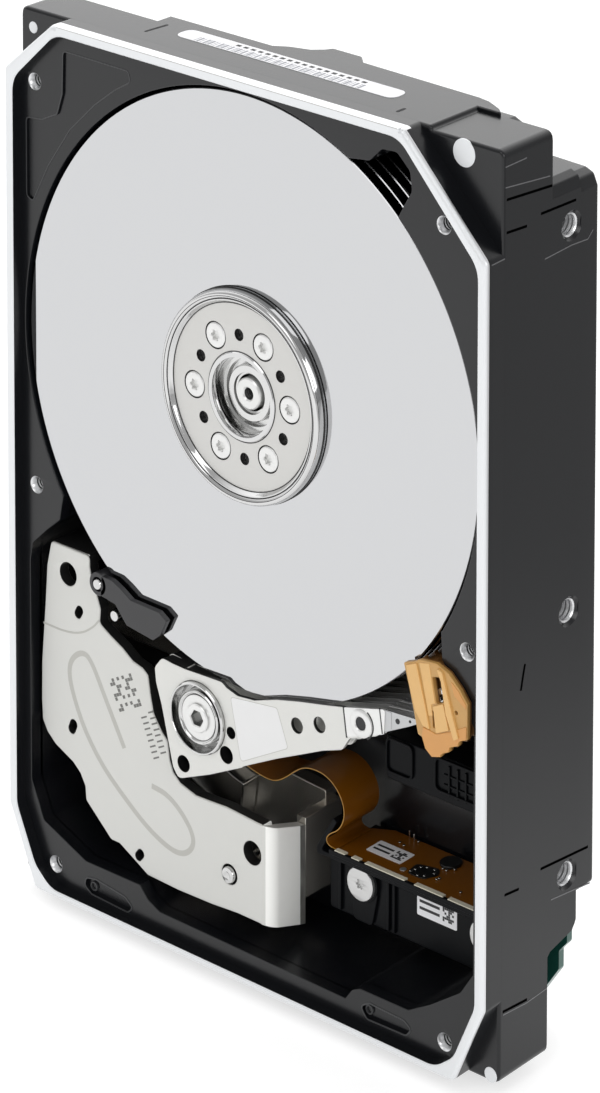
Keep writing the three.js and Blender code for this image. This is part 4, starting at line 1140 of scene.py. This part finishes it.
# Raised parts of the ramp's outer face: outline, height of the top, material number (0 painted light, 3
# painted half shade)
RAMP_RELIEF = [
    ([(34.9, 64), (36.9, 64.9), (37.9, 61.6), (38.9, 58.2), (39.6, 55.4), (38.3, 55.6),
      (36.8, 57.4), (35.6, 61)], 25.12, 0),
    ([(37.4, 65.1), (39.4, 65.5), (39.9, 62.9), (40.6, 59.7), (39.8, 59.3), (40.1, 57.6),
      (39.3, 57.4), (38.3, 61.6)], 24.95, 0),
    ([(41, 65.4), (42.1, 65.1), (43, 62.4), (44.2, 59), (45.4, 55.8), (44.5, 55.2), (42.9, 58.8),
      (41.9, 63.6)], 25.2, 0),
    ([(40.3, 59.2), (42.3, 60.2), (42.9, 58.2), (43.4, 56.4), (40.9, 55.2)], 25.1, 0),
    ([(38.2, 55.3), (39.6, 55.2), (40.8, 55), (43.5, 56.2), (45.3, 57.2), (46.8, 58), (46.8, 56),
      (45.4, 55.3), (45.1, 54.5), (43.5, 53.8), (43.3, 53), (41.9, 52.3), (41.6, 51.7),
      (40, 51.2), (38.7, 52.1), (38, 53.8)], 24.98, 3),
    ([(43.6, 64.2), (45.2, 63), (46.7, 61.3), (46.7, 60.6), (44.4, 62)], 24.95, 3)]


def build_ramp():
    roof = fillet([
        (34.2, 64.1), (36.3, 64.9), (37.4, 65.5), (40.7, 65.9), (43.1, 65.1), (45.4, 63.2),
        (46.9, 61.4), (46.9, 55.9), (45.4, 55.3), (45.1, 54.4), (43.5, 53.7), (43.3, 52.9),
        (41.9, 52.2), (41.6, 51.6), (39.9, 51.1), (38.5, 52.1), (37.9, 53.6), (37.1, 53.8),
        (36.3, 56.9), (35.3, 60.6)], 0.25, 2)
    window = fillet([(39.9, 63.6), (41.5, 64), (42.5, 60.4), (40.8, 59.6)], 0.25, 2)
    pips = [circle(x, z, 0.33, 16) for x, z in ((38.7, 61.6), (45.2, 62.2), (44.7, 59.5))]
    slit = slot_outline(40.1, 58.2, 40.3, 55.9, 0.18, 4)
    face = Shape().plate(roof, 24.1, 24.85, [window, slit] + pips, edge=0.15, hole_edge=0.06, mat=2)
    # The plate seen through the window is in painted shade.
    face.plate(roof, 23.9, 24.15, [window], mat=1)
    for outline, high, mat in RAMP_RELIEF:
        face.plate(fillet(ccw(outline), 0.15, 2), 24.8, high, edge=0.08, mat=mat, bottom_edge=0)
    face.finish("ramp_face", "base", [RAMP_LIT, RAMP_DEEP, RAMP_MID, RAMP_HALF_SHADE], "ramp_plastic")

    ramp = Shape()
    spine = fillet([
        (38.4, 53.9), (37.9, 56.5), (37.3, 59.5), (36.4, 64.4), (38.9, 65.3), (42.6, 63.6), (46.6, 60),
        (46.8, 56.2), (44.6, 54.4), (42.7, 53), (40.6, 52)], 0.5, 3)
    ramp.plate(spine, FLOOR, 23.2)
    ramp.plate(spine, 23.15, 24, [circle(*RAMP_SCREW, 1.5, 32)])
    fingers = sector(*PIVOT, 48.3, 51.9, 11.2, 27.2, 12)
    for k in range(PLATTERS):
        middle = TOP_FACE - PLATTER_THICK / 2 - k * PITCH
        ramp.plate(fingers, middle - 0.42, middle + 0.42, edge=0.1)
    # The ramp's body and fingers are in painted shade.
    ramp.finish(
        "parking_ramp", "base", [RAMP_DEEP], "ramp_plastic", ["load_ramp"],
        cutters=[Shape().plate(circle(*SPINDLE, 48, 160), 0, 23.75)])
    screw = Shape().rod(*RAMP_SCREW, 0.85, 19.6, 23.35)
    screw.screw_head(*RAMP_SCREW, 1.4, 23.3, 24.05, 0.75, 0.5)
    screw.finish("ramp_bolt", "base", [STEEL], "steel", ["ramp_screw"])


def build_latch():
    lever = Shape()
    outline = fillet([
        (-30.4, 58.5), (-27.9, 58.4), (-26, 57.6), (-23.8, 56.4), (-17.6, 56.3), (-15.9, 55.3),
        (-17.3, 52.6), (-18.9, 51.3), (-24.8, 52), (-27.3, 54.7), (-30.6, 55.2)], 0.22, 2)
    lever.plate(outline, 23.6, 24.5, edge=0.1)
    lever.lathe([(1.2, 23.6), (1.9, 23.6), (1.9, 24.4), (1.8, 24.5), (1.2, 24.5)], *LATCH, 40)
    lever.lathe([(1.2, 18), (1.8, 18), (1.8, 23.7), (1.2, 23.7)], *LATCH, 32)
    lever.finish("latch_lever_piece", "latch_lever", [PLASTIC_GREY], "black_plastic", ["latch"])
    pin = Shape().lathe([(0, FLOOR), (1, FLOOR), (1, 24.4), (0.75, 24.75), (0, 24.85)], *LATCH, 32)
    pin.lathe([(0, FLOOR), (1, FLOOR), (1, 22.2), (0.8, 22.6), (0, 22.8)], -29.5, 51.4, 32)
    pin.finish("latch_pins", "base", [STEEL], "steel", ["latch_pin"])


# ---------------------------------------------------------------- flex

FLEX_LOW = 8.7
FLEX_HIGH = 16.6
BRACKET_SCREWS = [centre_of(f"bracket_screw_{k}") for k in (1, 2)]


def build_flex():
    path = smooth([
        (-8.4, 32.3), (-4.6, 31.2), (-0.8, 30.8), (1.6, 31.9), (4.9, 34.7), (7.2, 35.6), (10.4, 35.6),
        (12.9, 34.2), (14.4, 32), (14.6, 29.6), (13.4, 27.4), (11.4, 26.2), (10.7, 25.2), (11.2, 24.3),
        (12.9, 24.15)])
    cable = Shape().ribbon(path, 0.07, FLEX_LOW, FLEX_HIGH, 0)
    cable.paint(lambda x, h, z, n: 1 if h > FLEX_HIGH - 0.01 else 0)
    ribbon_piece = cable.finish("flex_ribbon", None, [FLEX, FLEX_EDGE], "flex", ["flex_cable"], 50)
    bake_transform(ribbon_piece)

    board = Shape()
    outline = fillet([(12.4, 16.5), (46, 16.5), (46, 6.4), (16, 6.4), (12.4, 8.2)], 0.6, 3)
    board.plate(outline, 23.7, 24, place=top, edge=0.04)
    board.finish("flex_sheet", "base", [FLEX], "flex", ["flex_board"])

    bracket = Shape()
    wall = fillet([
        (10.2, 13.4), (40.6, 13.4), (44.6, 17.2), (45.6, 20), (45.6, 23.5), (10.2, 23.5)], 0.5, 3)
    bracket.plate(wall, 13.8, 15, edge=0.15)
    bracket.box(11.8, 6.4, 45.8, 16.9, 22.5, 23.7, place=top, edge=0.2)
    bracket.box(11.8, 16.5, 45.8, 17.1, 23.3, 24.1, place=top, edge=0.1)
    for x in (12.6, 22.6, 23.8):
        bracket.box(x - 0.25, 13.8, x + 0.25, 23, 14.8, 15.5, edge=0.1)
    for x, z in BRACKET_SCREWS:
        bracket.rod(x, z, 3.1, 14.8, 15.6, edge=0.1)
    bracket.plate(
        fillet([(14.2, 19), (20.6, 19), (19.4, 13.4), (15.6, 13.4)], 0.8, 3), 14.8, 15.5, edge=0.15)
    bracket.plate(
        fillet([(9.5, 22.9), (12.8, 28.4), (12, 28.9), (8.5, 23.2), (8.7, 22), (12, 22.3), (12, 22.9)],
        0.3, 2), 14.4, 16.4, edge=0.15)
    bracket.finish("board_bracket", "base", [PLASTIC], "black_plastic", ["flex_bracket"])

    for k, (x, z) in enumerate(BRACKET_SCREWS):
        screw = Shape().rod(x, z, 1, 10, 15.7)
        screw.screw_head(x, z, 2.7, 15.6, 16.2, 0.85, 0.55)
        screw.finish(
            f"bracket_bolt_{k + 1}", "base", [STEEL_SATIN], "steel", [f"bracket_screw_{k + 1}"])

    parts = Shape()
    face = 24
    for left, right in ((12.9, 15), (16.4, 18), (19.2, 27.4), (29.4, 35.2), (36.2, 45.9)):
        parts.box(left, 16.2, right, 17, face, face + 0.25, place=top, mat=3)
    parts.plate(circle(29.5, 8.7, 1.75, 40), face, face + 0.5, place=top, mat=1, edge=0.15)
    parts.plate(
        fillet([(25.4, 12), (29.4, 11), (30.4, 12.6), (29.2, 14.8), (26, 14.9)], 0.9, 3), face,
        face + 0.2, place=top, mat=1, edge=0.05)
    for x, h in BOARD_DOTS:
        parts.plate(circle(x, h, 0.24, 16), face + 0.1, face + 0.26, place=top, edge=0.06)
    for x, h in ((19.3, 6.8), (20.6, 7.2)):
        parts.box(x - 0.12, h - 0.12, x + 0.12, h + 0.12, face, face + 1.3, place=top, edge=0.03)
    parts.plate(circle(24.8, 14.4, 0.55, 20), face, face + 0.1, place=top, mat=2, edge=0.04)
    parts.finish("board_parts", "base", [SOLDER, CHIP_AND_SHADE, STEEL_SATIN, CREAM], "steel")

    label(on(top, face), 16.3, 10.1, 23.4, 13.6, "board_label")
    label(on(front, 15), 28.3, 18.3, 36.4, 22, "wall_label")


# Solder points of the flex board, as (x, height) points
BOARD_DOTS = [
    (19.1, 8.9), (20.2, 9.2), (21.2, 6.9), (26.2, 14.2), (26.7, 12.4), (28.9, 11.7), (28.8, 14),
    (26.4, 13.4), (27.5, 11.9), (27.9, 14.5), (29.6, 12.6), (29.6, 10.6), (30.4, 10.7), (31.2, 9.7),
    (30.1, 7.1), (31, 13.6), (31.1, 13.1), (36.4, 14.2)]


def label(place, x0, y0, x1, y1, name):
    """A white label with plain square blocks on one side and bars on the other."""
    shape = Shape().plate(fillet(box_outline(x0, y0, x1, y1), 0.25, 3), 0, 0.06, place=place)
    size = (y1 - y0) * 0.62
    cell = size / 6
    left = x1 - size - (y1 - y0) * 0.16
    base = y0 + (y1 - y0) * 0.19
    for i in range(6):
        for j in range(6):
            if (i * 3 + j * 5 + i * j) % 4 < 2:
                u, v = left + i * cell, base + j * cell
                shape.box(
                    u, v, left + (i + 0.92) * cell, base + (j + 0.92) * cell, 0.05, 0.075, mat=1,
                    place=place)
    span = left - x0 - (y1 - y0) * 0.3
    for j in range(2):
        level = y0 + (y1 - y0) * (0.28 + 0.3 * j)
        shape.box(
            x0 + 0.5, level, x0 + 0.5 + max(span, 0.5), level + 0.45, 0.05, 0.075, mat=1, place=place)
    shape.finish(name, "base", [PAPER, INK_AND_SHADE], "filter")


# ---------------------------------------------------------------- board side

def build_board():
    board = Shape()
    outline = fillet([
        (-40.6, 2.6), (40.6, 2.6), (45.4, 9.4), (45.4, 12.4), (47, 14.2), (47, 22), (44.2, 24.4),
        (44.2, 62), (24, 74.5), (-24, 74.5), (-44.2, 62), (-44.2, 24.4), (-47, 22), (-47, 14.2),
        (-45.4, 12.4), (-45.4, 9.4)], 0.8, 3)
    board.plate(outline, 0.5, 1.7, edge=0.05)
    board.finish("main_board", "base", [BOARD], "board", ["circuit_board"])
    parts = Shape()
    for x, z, w, d in ((-22, 34, 14, 14), (4, 30, 10, 8), (18, 44, 12, 7), (-34, 52, 7, 9)):
        parts.box(x, z, x + w, z + d, 0.05, 0.55, edge=0.08, mat=1)
    for k in range(26):
        x = -38 + (k * 37) % 76
        z = 14 + (k * 23) % 50
        parts.box(x, z, x + 1.6, z + 0.8, 0.15, 0.55, mat=0)
    for x, z in ((-40, 10), (40, 10), (-40, 58), (40, 58), (0, 70)):
        parts.lathe([(0, 0.1), (2.4, 0.1), (2.6, 0.3), (2.6, 0.55), (0, 0.55)], x, z, 40, 2)
    parts.finish("main_board_parts", "base", [SOLDER, CHIP_AND_SHADE, STEEL], "steel")
    mouths = [box_outline(0.5, 1.3, 16.5, 3.1), box_outline(19, 1.3, 38, 3.1)]
    plug = Shape().plate(box_outline(-2, 0.4, 40.5, 4.1), 0, 7, mouths, place=top, edge=0.2)
    plug.box(0.2, 0.9, 38.2, 3.4, 5.2, 6.8, place=top)
    pin_pitch = 1.27
    for first, count in ((2, 7), (19.6, 15)):
        for k in range(count):
            x = first + k * pin_pitch
            plug.box(x, 1.9, x + 0.7, 2.15, 0.8, 6, place=top, mat=1)
    plug.finish("end_connector", "base", [PLASTIC, GOLD], "black_plastic", ["sata_connector"])


# ---------------------------------------------------------------- small boxes

def build_boxes():
    box = Shape().plate(fillet(box_outline(19, 35.9, 46.7, 43.1), 0.6, 3), FLOOR, 12, edge=0.3)
    for x0, z0, x1, z1 in ((29.2, 37.4, 46.5, 42.9), (19.2, 37.2, 24.8, 42.9)):
        outline = fillet(box_outline(x0, z0, x1, z1), 1.2, 4)
        box.plate(outline, 11.9, 12.4, [inset(ccw(outline), 0.35)], edge=0.1)
    for x in (32, 33.7, 35.4, 37.1, 38.8, 40.5):
        box.box(x, 37.2, x + 0.35, 42, 11.9, 12.3, edge=0.08)
    for z in (38.6, 40.2):
        box.box(31, z, 45.4, z + 0.3, 11.9, 12.2, edge=0.08)
    box.finish("breather_box", "base", [PLASTIC], "black_plastic", ["desiccant_box"])
    felt = Shape().plate(
        fillet([(30.2, 135.6), (32.4, 137.8), (30.2, 140.2), (28, 138.2)], 0.4, 3), FLOOR, 14, edge=0.2)
    felt.finish("filter_pad", "base", [FILTER], "filter", ["air_filter"])
    end_label()


def end_label():
    """A white label on the top end, with plain bars along it."""
    shape = Shape()
    place = on(top, BODY_HIGH)
    shape.plate(fillet(box_outline(-21.6, 13.2, 24.4, 16.9), 1.7, 5), 0, 0.06, place=place)
    half = 17.5
    x = -half
    k = 0
    while x < half:
        width = (0.14, 0.24, 0.4)[(k * k + k) % 7 % 3]
        shape.box(x, 15, x + width, 16.75, 0.05, 0.07, mat=1, place=place)
        x += width + (0.22, 0.36, 0.5)[(k * 3 + 1) % 5 % 3]
        k += 1
    for k in range(18):
        x = -10.6 + k * 1.55
        shape.box(x, 13.85, x + 0.9, 14.5, 0.05, 0.07, mat=2, place=place)
    shape.finish("end_label", "base", [PAPER, FADED_INK, INK_AND_SHADE], "filter")


# ---------------------------------------------------------------- stage

SKY_BRIGHT_SIDE = (-0.62, 0.66, 0.42)
SKY_DIM = 0.55
SKY_FULL = 1.9
# The floor's glow fades from its first value to its second over this band of metres across
# the view.
ACROSS_VIEW = (0.707, 0.707, 0)
FLOOR_FADE = (0.07, 0.2)
FLOOR_GLOW = (0.66, 0)
# Lamps: name, size in metres, power in watts, place in metres
LAMPS = [("key", 0.9, 4, (0.2, -1.1, 1.3)), ("fill", 0.8, 6, (1.4, -0.5, 0.7))]


def build_stage():
    floor_mesh = bpy.data.meshes.new("floor")
    half = 4
    floor_mesh.from_pydata([(-half, -half, 0), (half, -half, 0), (half, half, 0), (-half, half, 0)],
                           [], [(0, 1, 2, 3)])
    floor = bpy.data.objects.new("floor", floor_mesh)
    bpy.context.scene.collection.objects.link(floor)
    floor.location.z = -0.0002
    pale = material("pale_floor", (0.5, 0.5, 0.5), 0, 0.9, specular=0)
    floor_glow(pale.node_tree)
    floor_mesh.materials.append(pale)
    build_sky()

    for name, size, power, where in LAMPS:
        light = bpy.data.lights.new(name, "AREA")
        light.energy = power
        light.size = size
        lamp = bpy.data.objects.new(name, light)
        lamp.location = where
        aim = Vector((0, 0, 0.07)) - Vector(where)
        lamp.rotation_euler = aim.to_track_quat("-Z", "Y").to_euler()
        bpy.context.scene.collection.objects.link(lamp)


def floor_glow(tree):
    """The floor looks even, but lights the drive less and less from its right side."""
    where = add_node(tree, "NewGeometry", {})
    across = add_node(
        tree, "VectorMath", {0: where.outputs["Position"], 1: ACROSS_VIEW}, "DOT_PRODUCT")
    fade = add_node(tree, "MapRange", {
        "From Min": FLOOR_FADE[0], "From Max": FLOOR_FADE[1],
        "To Min": FLOOR_GLOW[0], "To Max": FLOOR_GLOW[1], "Value": across.outputs["Value"]})
    seen = add_node(tree, "LightPath", {})
    choose = add_node(tree, "Mix", {
        "Factor": seen.outputs["Is Camera Ray"], "A": fade.outputs["Result"], "B": FLOOR_GLOW[0]})
    connect(tree, tree.nodes["Principled BSDF"], {
        "Emission Color": (1, 1, 1, 1), "Emission Strength": choose.outputs["Result"]})


def build_sky():
    """A white surround, brightest high behind the drive and dimmer in front."""
    world = bpy.data.worlds.new("studio")
    bpy.context.scene.world = world
    world.use_nodes = True
    tree = world.node_tree
    where = add_node(tree, "TexCoord", {})
    towards = add_node(tree, "VectorMath", {
        0: where.outputs["Generated"], 1: SKY_BRIGHT_SIDE}, "DOT_PRODUCT")
    fade = add_node(tree, "MapRange", {
        "From Min": 0.2, "From Max": 0.9, "To Min": SKY_DIM, "To Max": SKY_FULL,
        "Value": towards.outputs["Value"]})
    connect(tree, tree.nodes["Background"], {
        "Color": (1, 1, 1, 1), "Strength": fade.outputs["Result"]})


# Viewing angle and lens of the main view
CAMERA_AZIMUTH = 36.91
CAMERA_ELEVATION = 6.15
CAMERA_ROLL = -0.75
CAMERA_DISTANCE = 610.4
CAMERA_TARGET = (99, -0.2, 312.4)
# Sensor width in millimetres; lens length and shift in heights of the picture
SENSOR = 36
LENS = 4.0853
SHIFT_ACROSS = -0.47528
SHIFT_UP = -1.38324


def build_camera():
    a, e, r = (v * RAD for v in (CAMERA_AZIMUTH, CAMERA_ELEVATION, CAMERA_ROLL))
    back = Vector((math.sin(a) * math.cos(e), -math.cos(a) * math.cos(e), math.sin(e)))
    right = Vector((math.cos(a), math.sin(a), 0))
    down = (-back).cross(right)
    right_rolled = right * math.cos(r) + down * math.sin(r)
    up = -(down * math.cos(r) - right * math.sin(r))
    turn = Matrix((right_rolled, up, back)).transposed().to_4x4()
    place_at = (Vector(CAMERA_TARGET) + back * CAMERA_DISTANCE) * MM
    data = bpy.data.cameras.new("camera")
    data.sensor_fit = "AUTO"
    data.sensor_width = SENSOR
    data.lens = LENS * SENSOR
    data.clip_start = 0.01
    data.clip_end = 50
    camera = bpy.data.objects.new("camera", data)
    camera.matrix_world = Matrix.Translation(place_at) @ turn
    bpy.context.scene.collection.objects.link(camera)
    bpy.context.scene.camera = camera
    shift_lens(data, camera, "shift_x", SHIFT_ACROSS)
    shift_lens(data, camera, "shift_y", SHIFT_UP)


def shift_lens(data, camera, channel, amount):
    """Shifts the lens while the camera stands at its main place; elsewhere it looks straight."""
    driver = data.driver_add(channel).driver
    driver.type = "SCRIPTED"
    place = driver.variables.new()
    place.name = "x"
    place.targets[0].id = camera
    place.targets[0].data_path = "location.x"
    driver.expression = f"{amount} if abs(x - {camera.location.x:.6f}) < 0.001 else 0"


build_casting()
build_spindle()
build_arms()
build_suspensions()
build_coil()
build_magnets()
build_ramp()
build_latch()
build_flex()
build_board()
build_boxes()
build_stage()
build_camera()
bpy.context.scene.view_settings.view_transform = "Standard"
